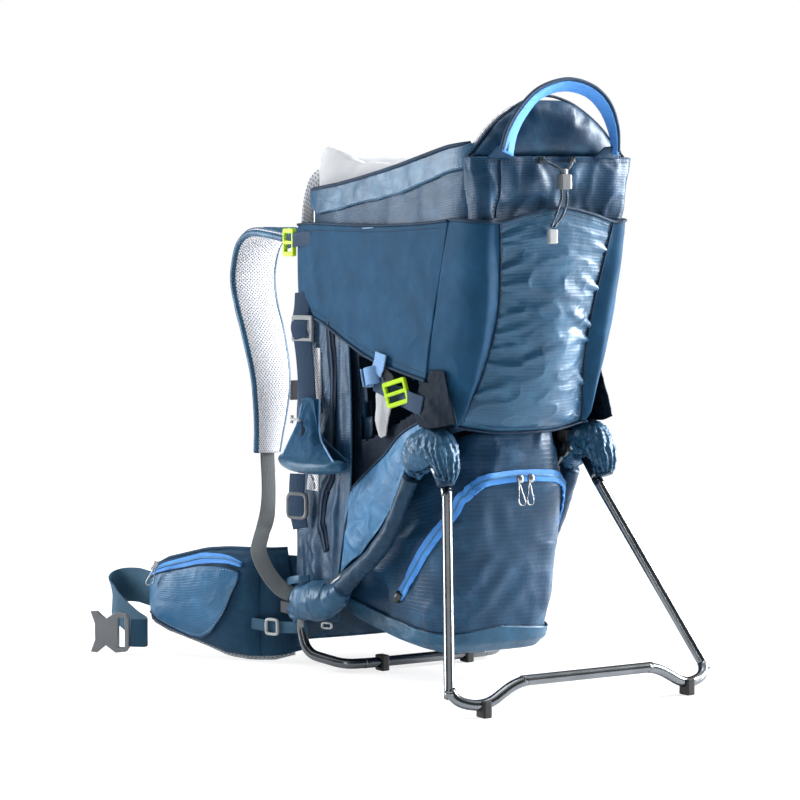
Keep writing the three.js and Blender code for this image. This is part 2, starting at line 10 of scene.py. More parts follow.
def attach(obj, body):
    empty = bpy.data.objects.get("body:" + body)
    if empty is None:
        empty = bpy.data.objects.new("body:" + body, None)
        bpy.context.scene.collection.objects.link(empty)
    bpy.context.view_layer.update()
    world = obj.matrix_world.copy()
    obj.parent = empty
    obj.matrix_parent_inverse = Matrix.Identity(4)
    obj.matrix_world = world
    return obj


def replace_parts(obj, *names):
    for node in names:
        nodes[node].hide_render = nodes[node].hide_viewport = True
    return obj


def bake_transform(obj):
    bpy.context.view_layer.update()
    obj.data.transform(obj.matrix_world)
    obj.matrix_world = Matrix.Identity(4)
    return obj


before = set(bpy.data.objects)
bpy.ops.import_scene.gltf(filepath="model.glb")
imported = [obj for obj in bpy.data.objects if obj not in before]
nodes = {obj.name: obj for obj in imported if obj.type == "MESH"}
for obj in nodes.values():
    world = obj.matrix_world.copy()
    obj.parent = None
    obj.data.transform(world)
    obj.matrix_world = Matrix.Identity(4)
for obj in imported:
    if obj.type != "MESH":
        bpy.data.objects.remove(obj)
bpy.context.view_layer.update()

# Lengths below are in millimetres from the middle of the stand on the ground: +X is the
# wearer's right, +Y the way the wearer faces. P() turns them into the frame's metres.
CENTRE_Y = 189.0


def P(x, y, z):
    return Vector((x, y - CENTRE_Y, z)) / 1000


def mm(v):
    return Vector((v.x * 1000, v.y * 1000 + CENTRE_Y, v.z * 1000))


# ---- camera ------------------------------------------------------------------------------
camera_data = bpy.data.cameras.new("camera")
camera_data.lens = 135
camera_data.sensor_width = 36
camera_data.clip_end = 100
camera = bpy.data.objects.new("camera", camera_data)
bpy.context.scene.collection.objects.link(camera)
camera.location = P(-2089, -3041, 612)
camera.rotation_euler = (math.radians(90 - 4.0), 0, math.radians(-32.5))
bpy.context.scene.camera = camera


SIDES = ((-1, "left"), (1, "right"))


def on_side(side, points):
    """Points given for the left side, moved to the side asked for."""
    return [(-side * x, y, z) for x, y, z in points]


def grid_on_side(side, grid):
    return grid if side < 0 else grid.mirrored()


# ---- materials ---------------------------------------------------------------------------
def linear(hex_colour):
    out = []
    for i in (0, 2, 4):
        c = int(hex_colour[i:i + 2], 16) / 255
        out.append(c / 12.92 if c <= 0.04045 else ((c + 0.055) / 1.055) ** 2.4)
    return (*out, 1)


class Shader:
    """A Principled material with helpers that chain its nodes."""

    def __init__(self, name, **sockets):
        self.material = bpy.data.materials.new(name)
        self.material.use_nodes = True
        self.tree = self.material.node_tree
        self.bsdf = self.tree.nodes["Principled BSDF"]
        for key, value in sockets.items():
            self.bsdf.inputs[key.replace("_", " ")].default_value = value
        self.height = None

    def node(self, kind, inputs=(), **settings):
        n = self.tree.nodes.new(kind)
        for key, value in settings.items():
            setattr(n, key, value)
        for i, value in enumerate(inputs):
            self.put(n.inputs[i], value)
        return n

    def put(self, socket, value):
        if value is None:
            return
        if isinstance(value, bpy.types.NodeSocket):
            self.tree.links.new(value, socket)
        else:
            socket.default_value = value

    def math(self, operation, a, b=None):
        return self.node("ShaderNodeMath", (a, b), operation=operation).outputs[0]

    def coords(self, kind):
        n = self.node("ShaderNodeTexCoord")
        split = self.node("ShaderNodeSeparateXYZ", (n.outputs[kind],))
        return n.outputs[kind], split.outputs

    def noise(self, vector, scale, detail=2.0, rough=0.5):
        n = self.node("ShaderNodeTexNoise")
        self.put(n.inputs["Vector"], vector)
        n.inputs["Scale"].default_value = scale
        n.inputs["Detail"].default_value = detail
        n.inputs["Roughness"].default_value = rough
        return n.outputs["Fac"]

    def creases(self, vector, size):
        """Sharp little valleys, as pressed cloth has: 1 on the flat, 0 along a crease."""
        mapping = self.node("ShaderNodeMapping", (vector,))
        mapping.inputs["Scale"].default_value = size
        n = self.noise(mapping.outputs[0], 1.0, 2.0, 0.4)
        off = self.math("ABSOLUTE", self.math("SUBTRACT", n, 0.5))
        return self.math("MINIMUM", self.math("MULTIPLY", off, 9.0), 1.0)

    def wave(self, coordinate, period, sharp=None):
        """0..1 along a coordinate in metres, once each period; sharp narrows the crest."""
        turn = self.math("MULTIPLY", coordinate, 2 * math.pi / period)
        s = self.math("MULTIPLY_ADD", self.math("SINE", turn), 0.5)
        self.tree.nodes[-1].inputs[2].default_value = 0.5
        return self.math("POWER", s, sharp) if sharp else s

    def ramp(self, factor, stops):
        n = self.node("ShaderNodeValToRGB", (factor,))
        while len(n.color_ramp.elements) < len(stops):
            n.color_ramp.elements.new(0.5)
        for element, (at, colour) in zip(n.color_ramp.elements, stops):
            element.position = at
            element.color = colour
        return n.outputs["Color"]

    def mix(self, factor, a, b):
        n = self.node("ShaderNodeMix", data_type="RGBA")
        self.put(n.inputs["Factor"], factor)
        self.put(n.inputs[6], a)
        self.put(n.inputs[7], b)
        return n.outputs[2]

    def colour(self, value):
        self.put(self.bsdf.inputs["Base Color"], value)

    def rough(self, factor, low, high):
        n = self.node("ShaderNodeMapRange", (factor, 0.0, 1.0, low, high))
        self.put(self.bsdf.inputs["Roughness"], n.outputs[0])

    def bump(self, height, distance, strength=1.0):
        n = self.node("ShaderNodeBump")
        n.inputs["Distance"].default_value = distance
        n.inputs["Strength"].default_value = strength
        self.put(n.inputs["Height"], height)
        if self.height:
            self.put(n.inputs["Normal"], self.height)
        self.height = n.outputs[0]
        self.put(self.bsdf.inputs["Normal"], self.height)


def woven(name, base, dark, light, rough=(0.42, 0.6), sheen=0.06, tint="9cc0e6",
          rib=0.0032, cross=0.0064, rib_depth=0.00012, crease=0.0007, shine=0.5):
    """Coated cloth: ribs across, a fainter line down, soft creases and uneven dye."""
    s = Shader(name, Sheen_Weight=sheen, Sheen_Roughness=0.45, Sheen_Tint=linear(tint),
               Specular_IOR_Level=shine, Specular_Tint=linear("aec2d4"))
    _, (u, v, _) = s.coords("UV")
    obj, _ = s.coords("Object")
    across = s.wave(v, rib, 3.0)
    down = s.wave(u, cross, 6.0)
    lines = s.math("MAXIMUM", across, s.math("MULTIPLY", down, 0.25))
    dye = s.noise(obj, 26, 4.0, 0.6)
    body = s.ramp(dye, [(0.3, linear(dark)), (0.55, linear(base)), (0.8, linear(light))])
    s.colour(s.mix(s.math("MULTIPLY", lines, 0.16), body, linear(light)))
    s.rough(s.noise(obj, 90, 3.0), *rough)
    s.bump(s.noise(obj, 34, 5.0, 0.62), crease)
    s.bump(s.creases(obj, (9, 9, 20)), crease * 0.5)
    s.bump(lines, rib_depth)
    return s.material


def webbing(name, base, light, rough=0.72, pitch=0.0016):
    """Woven strap: close weft bars and long warp ribs."""
    s = Shader(name, Sheen_Weight=0.04, Sheen_Roughness=0.5, Specular_IOR_Level=0.25)
    _, (u, v, _) = s.coords("UV")
    obj, _ = s.coords("Object")
    bars = s.wave(v, pitch)
    warp = s.wave(u, 0.0022)
    tone = s.math("MULTIPLY", s.math("ADD", bars, warp), 0.5)
    body = s.mix(s.math("MULTIPLY", tone, 0.8), linear(base), linear(light))
    s.colour(s.mix(s.math("MULTIPLY", s.noise(obj, 120, 3.0), 0.4), body, linear(base)))
    s.rough(tone, rough - 0.12, rough + 0.1)
    s.bump(tone, 0.00025)
    return s.material


def spacer(name, base, hole, pitch=0.0052):
    """Open spacer mesh: rows of dark dimples set in a pale knit."""
    s = Shader(name, Sheen_Weight=0.3, Sheen_Roughness=0.6)
    _, (u, v, _) = s.coords("UV")
    obj, _ = s.coords("Object")
    a = s.wave(s.math("ADD", u, v), pitch)
    b = s.wave(s.math("SUBTRACT", u, v), pitch)
    dimple = s.math("MULTIPLY", a, b)
    mask = s.math("SMOOTH_MAX", s.math("SUBTRACT", dimple, 0.34), 0.0)
    mask = s.math("MINIMUM", s.math("MULTIPLY", mask, 3.0), 1.0)
    dust = s.noise(obj, 60, 3.0)
    body = s.mix(s.math("MULTIPLY", dust, 0.35), linear(base), linear("b9bcc4"))
    s.colour(s.mix(mask, body, linear(hole)))
    s.rough(dust, 0.75, 0.92)
    s.bump(s.math("SUBTRACT", 1.0, mask), 0.0006)
    return s.material


def plush(name, base, shade):
    s = Shader(name, Sheen_Weight=0.5, Sheen_Roughness=0.6, Sheen_Tint=linear("ffffff"))
    obj, _ = s.coords("Object")
    tone = s.noise(obj, 22, 4.0)
    s.colour(s.mix(tone, linear(shade), linear(base)))
    s.rough(s.noise(obj, 200, 2.0), 0.8, 0.95)
    s.bump(s.noise(obj, 900, 3.0, 0.7), 0.0004)
    s.bump(s.noise(obj, 40, 3.0), 0.0012)
    return s.material


def moulded(name, base, dark, rough=(0.3, 0.45), grain=0.00006, coat=0.0):
    s = Shader(name, Coat_Weight=coat, Coat_Roughness=0.25)
    obj, _ = s.coords("Object")
    tone = s.noise(obj, 70, 4.0)
    s.colour(s.mix(tone, linear(dark), linear(base)))
    s.rough(s.noise(obj, 160, 3.0), *rough)
    s.bump(s.noise(obj, 1400, 2.0), grain)
    return s.material


def metal(name, base, dark, rough=(0.2, 0.34), along=900.0):
    """Drawn metal with fine long scratches and duller patches."""
    s = Shader(name, Metallic=1.0)
    _, (u, v, _) = s.coords("UV")
    obj, _ = s.coords("Object")
    stretch = s.node("ShaderNodeCombineXYZ", (s.math("MULTIPLY", u, along),
                                              s.math("MULTIPLY", v, along / 40), 0.0))
    lines = s.noise(stretch.outputs[0], 1.0, 3.0)
    patches = s.noise(obj, 30, 4.0)
    s.colour(s.mix(patches, linear(dark), linear(base)))
    s.rough(s.math("MULTIPLY", s.math("ADD", lines, patches), 0.5), *rough)
    s.bump(lines, 0.00003)
    return s.material


def braid(name, base, fleck):
    s = Shader(name, Sheen_Weight=0.2)
    _, (u, v, _) = s.coords("UV")
    twist = s.wave(s.math("ADD", s.math("MULTIPLY", u, 0.9), v), 0.0034, 2.0)
    other = s.wave(s.math("SUBTRACT", s.math("MULTIPLY", u, 0.9), v), 0.0034, 2.0)
    flecks = s.wave(s.math("ADD", u, s.math("MULTIPLY", v, 0.5)), 0.0105, 9.0)
    s.colour(s.mix(flecks, linear(base), linear(fleck)))
    s.rough(twist, 0.6, 0.8)
    s.bump(s.math("MAXIMUM", twist, other), 0.0003)
    return s.material


MAT = {
    "ripstop": woven("ripstop", "12334e", "0d2942", "234e6e", rough=(0.36, 0.5), crease=0.0009,
                     shine=0.45),
    "panel": woven("panel_fabric", "1b4562", "153954", "2f5f7d", rough=(0.34, 0.46), rib=0.0046,
                   crease=0.001, shine=0.75),
    "stretch": woven("stretch_fabric", "183f5d", "143852", "204d6c", rough=(0.62, 0.78),
                     sheen=0.03, rib=0.0022, cross=0.0022, rib_depth=0.00006, crease=0.0003,
                     shine=0.22),
    # Near-black navy cloth. On the leg surround and on the cockpit lining seen through the leg opening, this
    # darkness is painted shade for the opening's recess.
    "dark": woven("dark_fabric_and_painted_shade", "091524", "060f1b", "0f1f30", rough=(0.6, 0.75), sheen=0.0,
                  crease=0.0004, shine=0.2),
    "sleeve": woven("sleeve_fabric", "122e45", "0c2336", "214660", rough=(0.34, 0.48),
                    crease=0.0008, shine=0.4),
    "belt": woven("belt_fabric", "15354d", "102b41", "1d4358", rough=(0.55, 0.72), rib=0.003,
                  shine=0.3),
    "belt_pocket": woven("hip_pocket_fabric", "255579", "1d4868", "386f95", rough=(0.34, 0.46),
                         rib=0.0036, shine=0.55),
    "base": woven("base_fabric", "1b4560", "153850", "2b5d78", rough=(0.32, 0.44), crease=0.001,
                  shine=0.6),
    "piping": woven("piping", "11253a", "0c1d2f", "1a3854", rough=(0.5, 0.65), shine=0.3),
    "band": woven("zip_tape", "4384cf", "3474bd", "6fa8e4", rough=(0.45, 0.6), rib=0.0012,
                  crease=0.0002, shine=0.4),
    # Pale blue cloth. On the bag's side wrap it is partly that panel's own paler cloth and partly painted
    # light, lighter than the bag fabric where the left lamp lights the face strongly. On the zip coils it is
    # their own colour.
    "pale_fabric_and_painted_light": woven("pale_fabric_and_painted_light", "2f6690", "25577d", "5089b0", rough=(0.34, 0.46),
                         crease=0.001, shine=0.6),
    "handle": webbing("handle_webbing", "3f86d6", "6aa7ea"),
    "blue_web": webbing("blue_webbing", "1d3f55", "2e566d"),
    "pale_web": webbing("pale_blue_webbing", "5d86b4", "8fb4dc"),
    "grey_web": webbing("grey_webbing", "4b5053", "6f7578"),
    "navy_web": webbing("navy_webbing", "1a3048", "2a4561"),
    "spacer": spacer("spacer_mesh", "dcdde2", "7d838f"),
    "back_mesh": spacer("back_mesh", "8b9298", "3a424b", pitch=0.006),
    "plush": plush("plush_lining", "a9acb1", "93979d"),
    "thread": moulded("thread", "9fb6cf", "7d98b6", rough=(0.6, 0.75)),
    "dark_thread": moulded("dark_thread", "16283c", "101f30", rough=(0.6, 0.75)),
    "dark_plastic": moulded("dark_plastic", "24282d", "191d21"),
    "grey_plastic": moulded("grey_plastic", "707478", "5e6266"),
    "light_plastic": moulded("light_plastic", "a4a9ab", "8d9294"),
    "lime": moulded("lime_plastic", "b9e01c", "a3cc14", coat=0.2),
    "rubber": moulded("rubber", "17181a", "0f1011", rough=(0.6, 0.8)),
    "tube": metal("frame_tube", "7d8286", "585c60", rough=(0.17, 0.28)),
    "steel": metal("steel", "a3a7ab", "83878b", rough=(0.2, 0.32)),
    "cord": braid("cord", "14202f", "5f7288"),
}


# ---- mesh helpers ------------------------------------------------------------------------
def finish_mesh(name, verts, faces, uvs, material, body):
    data = bpy.data.meshes.new(name)
    data.from_pydata(verts, [], faces)
    layer = data.uv_layers.new(name="cloth")
    k = 0
    for face_uv in uvs:
        for pair in face_uv:
            layer.data[k].uv = pair
            k += 1
    data.materials.append(MAT[material])
    for polygon in data.polygons:
        polygon.use_smooth = True
    obj = bpy.data.objects.new(name, data)
    bpy.context.scene.collection.objects.link(obj)
    obj["material"] = material
    if body:
        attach(obj, body)
    return obj


def smooth_path(points, n):
    """n + 1 points, evenly spaced, on a smooth curve through the given ones."""
    pts = [Vector(p) for p in points]
    fine = []
    for i in range(len(pts) - 1):
        a = pts[i - 1] if i else pts[0] * 2 - pts[1]
        b, c = pts[i], pts[i + 1]
        d = pts[i + 2] if i + 2 < len(pts) else pts[-1] * 2 - pts[-2]
        for k in range(12):
            t = k / 12
            fine.append(0.5 * ((2 * b) + (c - a) * t + (2 * a - 5 * b + 4 * c - d) * t * t
                               + (3 * b - a - 3 * c + d) * t ** 3))
    fine.append(pts[-1])
    return resample(fine, n)


def resample(pts, n):
    run = [0.0]
    for a, b in zip(pts, pts[1:]):
        run.append(run[-1] + (b - a).length)
    out = []
    for k in range(n + 1):
        s = run[-1] * k / n
        i = min(max(bisect.bisect_right(run, s) - 1, 0), len(pts) - 2)
        step = run[i + 1] - run[i]
        out.append(pts[i].lerp(pts[i + 1], (s - run[i]) / step if step else 0))
    return out


def rounded(points, segments=8):
    """A polyline whose corners are rounded: points are (x, y, z, corner radius)."""
    out = [Vector(points[0][:3])]
    for i in range(1, len(points) - 1):
        corner = Vector(points[i][:3])
        to_prev = Vector(points[i - 1][:3]) - corner
        to_next = Vector(points[i + 1][:3]) - corner
        radius = points[i][3] if len(points[i]) > 3 else 20
        reach = min(radius / math.tan(to_prev.angle(to_next) / 2),
                    0.48 * to_prev.length, 0.48 * to_next.length)
        a = corner + to_prev.normalized() * reach
        b = corner + to_next.normalized() * reach
        for k in range(segments + 1):
            t = k / segments
            out.append(a * (1 - t) ** 2 + corner * 2 * t * (1 - t) + b * t * t)
    out.append(Vector(points[-1][:3]))
    return out


def spread(points, n):
    """The same as smooth_path for a closed or open row of control points, by parameter."""
    out = []
    last = len(points) - 1
    for k in range(n + 1):
        s = last * k / n
        i = min(int(s), last - 1)
        t = s - i
        b, c = Vector(points[i]), Vector(points[i + 1])
        a = Vector(points[i - 1]) if i else b * 2 - c
        d = Vector(points[i + 2]) if i + 2 <= last else c * 2 - b
        out.append(0.5 * ((2 * b) + (c - a) * t + (2 * a - 5 * b + 4 * c - d) * t * t
                          + (3 * b - a - 3 * c + d) * t ** 3))
    return out


def patch(rows, nu, nv):
    """A smooth grid of points through a coarse grid of them, in millimetres."""
    fine = [spread(row, nu) for row in rows]
    columns = [spread([row[i] for row in fine], nv) for i in range(nu + 1)]
    return [[columns[i][j] for i in range(nu + 1)] for j in range(nv + 1)]


def normals(rows, closed=False):
    out = []
    nv, nu = len(rows), len(rows[0])
    for j in range(nv):
        line = []
        for i in range(nu):
            left = rows[j][(i - 1) % nu] if closed else rows[j][max(i - 1, 0)]
            right = rows[j][(i + 1) % nu] if closed else rows[j][min(i + 1, nu - 1)]
            low, high = rows[max(j - 1, 0)][i], rows[min(j + 1, nv - 1)][i]
            n = (right - left).cross(high - low)
            line.append(n.normalized() if n.length > 1e-9 else Vector((0, 0, 1)))
        out.append(line)
    return out


def displaced(rows, push, closed=False):
    """The grid moved along its normals by push(u, v, point) millimetres."""
    if push is None:
        return rows
    ns = normals(rows, closed)
    nv, nu = len(rows) - 1, len(rows[0]) - (0 if closed else 1)
    return [[p + ns[j][i] * push(i / nu, j / nv, p) for i, p in enumerate(row)]
            for j, row in enumerate(rows)]


class Grid:
    """A surface made from rows of points: what it looks like and where its points are."""

    def __init__(self, rows, push=None, closed=False, outward=None):
        self.closed = closed
        if outward is not None:
            n = normals(rows, closed)[len(rows) // 2][len(rows[0]) // 2]
            if n.dot(Vector(outward)) < 0:
                rows = [row[::-1] for row in rows]
        self.rows = displaced(rows, push, closed)
        self.ns = normals(self.rows, closed)
        self._tree = None

    def mirrored(self):
        g = Grid.__new__(Grid)
        g.closed = self.closed
        g.rows = [[Vector((-p.x, p.y, p.z)) for p in row][::-1] for row in self.rows]
        g.ns = normals(g.rows, g.closed)
        g._tree = None
        return g

    def uv_of(self):
        nv, nu = len(self.rows), len(self.rows[0])
        mid = self.rows[nv // 2]
        us = [0.0]
        for i in range(1, nu + (1 if self.closed else 0)):
            us.append(us[-1] + (mid[i % nu] - mid[i - 1]).length / 1000)
        col = [row[nu // 2] for row in self.rows]
        vs = [0.0]
        for a, b in zip(col, col[1:]):
            vs.append(vs[-1] + (b - a).length / 1000)
        return us, vs

    def build(self, name, material, body, thick=0.0, caps=False, skip=None):
        rows, closed = self.rows, self.closed
        nv, nu = len(rows), len(rows[0])
        us, vs = self.uv_of()
        verts = [P(*p) for row in rows for p in row]
        faces, uvs = [], []

        def quad(i, j, base, back):
            k = (i + 1) % nu
            face = [base + j * nu + i, base + j * nu + k, base + (j + 1) * nu + k,
                    base + (j + 1) * nu + i]
            uv = [(us[i], vs[j]), (us[i + 1], vs[j]), (us[i + 1], vs[j + 1]), (us[i], vs[j + 1])]
            faces.append(face[::-1] if back else face)
            uvs.append(uv[::-1] if back else uv)

        cells = [(i, j) for j in range(nv - 1) for i in range(nu if closed else nu - 1)
                 if not (skip and skip(sum((rows[j + b][(i + a) % nu] for a in (0, 1)
                                            for b in (0, 1)), Vector()) / 4))]
        for i, j in cells:
            quad(i, j, 0, False)
        if thick:
            base = len(verts)
            verts += [P(*(p - n * thick)) for row, line in zip(rows, self.ns)
                      for p, n in zip(row, line)]
            for i, j in cells:
                quad(i, j, base, True)
            have = set(cells)
            for i, j in cells:
                k = (i + 1) % nu
                left = (i - 1) % nu if closed else i - 1
                right = (i + 1) % nu if closed else i + 1
                for near, a, b in (((i, j - 1), (i, j), (k, j)),
                                   ((right, j), (k, j), (k, j + 1)),
                                   ((i, j + 1), (k, j + 1), (i, j + 1)),
                                   ((left, j), (i, j + 1), (i, j))):
                    if near in have:
                        continue
                    va, vb = a[1] * nu + a[0], b[1] * nu + b[0]
                    faces.append([vb, va, base + va, base + vb])
                    uvs.append([(0, 0), (0.002, 0), (0.002, 0.002), (0, 0.002)])
        if caps:
            for j, turn in ((0, True), (nv - 1, False)):
                middle = len(verts)
                verts.append(P(*(sum(rows[j], Vector()) / nu)))
                for i in range(nu):
                    k = (i + 1) % nu
                    face = [j * nu + i, j * nu + k, middle]
                    faces.append(face[::-1] if turn else face)
                    uvs.append([(us[i], vs[j]), (us[i + 1], vs[j]), (us[i], vs[j])])
        return finish_mesh(name, verts, faces, uvs, material, body)

    def area(self, skip=None):
        total = 0
        nu = len(self.rows[0])
        for j in range(len(self.rows) - 1):
            for i in range(nu if self.closed else nu - 1):
                k = (i + 1) % nu
                a, b = self.rows[j][i], self.rows[j][k]
                c, d = self.rows[j + 1][k], self.rows[j + 1][i]
                if skip and skip((a + b + c + d) / 4):
                    continue
                total += ((c - a).cross(d - b)).length / 2
        return total / 1e6

    @property
    def tree(self):
        if self._tree is None:
            nu = len(self.rows[0])
            verts = [p for row in self.rows for p in row]
            faces = []
            for j in range(len(self.rows) - 1):
                for i in range(nu if self.closed else nu - 1):
                    k = (i + 1) % nu
                    faces.append((j * nu + i, j * nu + k, (j + 1) * nu + k, (j + 1) * nu + i))
            self._tree = BVHTree.FromPolygons(verts, faces)
        return self._tree

    def snap(self, points, lift=0.5, n=None):
        """Points on the surface nearest to the given ones, each with its normal."""
        if n:
            points = smooth_path(points, n)
        out = []
        for p in points:
            at, normal, _, _ = self.tree.find_nearest(Vector(p))
            out.append((at + normal * lift, normal))
        return out


LEAST_SHARE = 0.301


def cloth(grid, name, material, body, thick=1.2, skip=None):
    """A thin sheet made from a grid.

    It works out the longest row, the longest column and the surface's own area, raised to at
    least a share of row by column, but does not use them. The longest row by the longest
    column, and the surface's own area, kept within what a sheet may declare.
    """
    obj = grid.build(name, material, body, thick=thick, skip=skip)
    wide = max(row_length(row, grid.closed) for row in grid.rows)
    long = max(row_length(column, False) for column in zip(*grid.rows))
    area = max(grid.area(skip), LEAST_SHARE * wide * long)
    return obj


def row_length(row, closed):
    ends = list(zip(row, row[1:])) + ([(row[-1], row[0])] if closed else [])
    return sum((b - a).length for a, b in ends) / 1000


def ribbon(name, points, across, width, thick, material, body, n=40, crown=0.0, smooth=True):
    """A strap: rounded edges, along a smooth path. width may be a list, as may across."""
    path = smooth_path(points, n) if smooth else [Vector(p) for p in points]
    n = len(path) - 1
    profile = [(-0.5, 0.0), (-0.49, 0.4), (-0.46, 0.5), (0.0, 0.5 + crown), (0.46, 0.5),
               (0.49, 0.4), (0.5, 0.0), (0.49, -0.4), (0.46, -0.5), (0.0, -0.5 - crown),
               (-0.46, -0.5), (-0.49, -0.4)]
    rows = []
    for k, at in enumerate(path):
        along = (path[min(k + 1, n)] - path[max(k - 1, 0)]).normalized()
        side = Vector(pick(across, k / n) if isinstance(across, list) else across)
        side = (side - along * side.dot(along)).normalized()
        up = side.cross(along)
        w = pick(width, k / n) if isinstance(width, list) else width
        rows.append([at + side * (a * w) + up * (b * thick) for a, b in profile])
    grid = Grid(rows, closed=True)
    obj = grid.build(name, material, body, caps=True)
    fix_outside(obj)
    return obj


def pick(values, t):
    """The value at t of a list of numbers or of (x, y, z) spread evenly over 0..1."""
    s = t * (len(values) - 1)
    i = min(int(s), len(values) - 2)
    f = s - i
    a, b = values[i], values[i + 1]
    if isinstance(a, (int, float)):
        return a + (b - a) * f
    return Vector(a).lerp(Vector(b), f)


def strap_on(grid, name, points, width, thick, material, body, lift=0.8, n=40):
    """A strap or tape that lies on a surface along the given points."""
    snapped = grid.snap(points, lift, n)
    path = [p for p, _ in snapped]
    side = []
    for k, (p, normal) in enumerate(snapped):
        along = path[min(k + 1, n)] - path[max(k - 1, 0)]
        side.append(tuple(normal.cross(along).normalized()))
    return ribbon(name, path, side, width, thick, material, body, n=n, smooth=False)


def pipe(name, points, radius, material, body, n=60, sides=20, smooth=True):
    """A round tube along a path; radius may be a list."""
    path = smooth_path(points, n) if smooth else [Vector(p) for p in points]
    n = len(path) - 1
    frame_up = None
    rows = []
    for k, at in enumerate(path):
        along = (path[min(k + 1, n)] - path[max(k - 1, 0)]).normalized()
        if frame_up is None:
            helper = Vector((0, 0, 1)) if abs(along.z) < 0.9 else Vector((1, 0, 0))
            frame_up = along.cross(helper).normalized()
        frame_up = (frame_up - along * frame_up.dot(along)).normalized()
        other = along.cross(frame_up)
        r = pick(radius, k / n) if isinstance(radius, list) else radius
        rows.append([at + (frame_up * math.cos(2 * math.pi * i / sides)
                           + other * math.sin(2 * math.pi * i / sides)) * r
                     for i in range(sides)])
    grid = Grid(rows, closed=True)
    obj = grid.build(name, material, body, caps=True)
    fix_outside(obj)
    return obj


def fix_outside(obj):
    """Turns a closed piece's faces outwards."""
    volume = 0.0
    data = obj.data
    for polygon in data.polygons:
        a = data.vertices[polygon.vertices[0]].co
        for i in range(1, len(polygon.vertices) - 1):
            b = data.vertices[polygon.vertices[i]].co
            c = data.vertices[polygon.vertices[i + 1]].co
            volume += a.dot(b.cross(c))
    if volume < 0:
        data.flip_normals()


def stitches(name, grid, runs, body, pitch=4.6, length=3.0, radius=0.42, material="thread",
             lift=0.25):
    """Rows of thread laid on a surface along each run of points."""
    verts, faces, uvs = [], [], []
    for run in runs:
        total = sum((Vector(b) - Vector(a)).length for a, b in zip(run, run[1:]))
        count = max(int(total / pitch), 2)
        spots = grid.snap(run, lift, count * 3)
        for k in range(count):
            a, _ = spots[3 * k]
            b, normal = spots[min(3 * k + 2, len(spots) - 1)]
            along = (b - a).normalized() if (b - a).length > 1e-6 else Vector((0, 0, 1))
            side = normal.cross(along).normalized()
            middle = (a + b) / 2
            base = len(verts)
            for t, r in ((-0.5, 0.25), (-0.3, 1.0), (0.3, 1.0), (0.5, 0.25)):
                for c in range(6):
                    q = 2 * math.pi * c / 6
                    verts.append(P(*(middle + along * (t * length)
                                     + side * (math.cos(q) * radius * r)
                                     + normal * (math.sin(q) * radius * r))))
            for ring in range(3):
                for c in range(6):
                    d = (c + 1) % 6
                    faces.append([base + ring * 6 + c, base + ring * 6 + d,
                                  base + ring * 6 + 6 + d, base + ring * 6 + 6 + c])
                    uvs.append([(0, 0), (0.001, 0), (0.001, 0.001), (0, 0.001)])
            faces.append([base + c for c in range(5, -1, -1)])
            uvs.append([(0, 0)] * 6)
            faces.append([base + 18 + c for c in range(6)])
            uvs.append([(0, 0)] * 6)
    return finish_mesh(name, verts, faces, uvs, material, body)


def folds(lines):
    """A push made of soft ridges: lines are (start, end, half width, height)."""
    made = [(Vector(a), Vector(b), w, h) for a, b, w, h in lines]

    def push(u, v, p):
        total = 0.0
        for a, b, w, h in made:
            ab = b - a
            t = max(0.0, min(1.0, (p - a).dot(ab) / ab.length_squared))
            d = (p - a - ab * t).length
            if d < 3 * w:
                total += h * math.exp(-(d / w) ** 2) * math.sin(math.pi * (0.12 + 0.76 * t))
        return total
    return push


def puckers(lines):
    """A push of gathers pulled in from a seam: deep at the first end, gone at the second.

    Only x and z count, so the y of each line's ends may be anything.
    """
    flat = Vector((1, 0, 1))
    made = [(Vector(a) * flat, Vector(b) * flat, w, h) for a, b, w, h in lines]

    def push(u, v, p):
        total = 0.0
        q = p * flat
        for a, b, w, h in made:
            ab = b - a
            t = max(0.0, min(1.0, (q - a).dot(ab) / ab.length_squared))
            d = (q - a - ab * t).length / (w * (0.7 + 1.3 * t))
            if d < 2.6:
                total += h * math.cos(d * 1.9) * math.exp(-0.6 * d * d) * (1 - t) ** 0.8
        return total
    return push


def crumple(amount, size, seed=0.0, stretch=(1, 1, 1)):
    """A push of soft creases: ridged noise, longer along the axes with a small stretch."""
    def push(u, v, p):
        q = Vector((p.x * stretch[0], p.y * stretch[1], p.z * stretch[2])) / size
        q += Vector((seed, seed * 1.7, seed * 0.6))
        soft = noise.noise(q)
        crease = 1 - abs(noise.noise(q * 1.7 + Vector((5.2, 1.3, 7.7)))) * 2
        return amount * (0.55 * soft + 0.45 * (crease ** 3 - 0.4))
    return push


def both(*pushes):
    return lambda u, v, p: sum(f(u, v, p) for f in pushes)


def faded(push, margin=0.08):
    """A push that dies out at the surface's edges, where it is sewn."""
    def edge(t):
        d = min(t, 1 - t) / margin
        return 1.0 if d >= 1 else d * d * (3 - 2 * d)
    return lambda u, v, p: push(u, v, p) * edge(u) * edge(v)


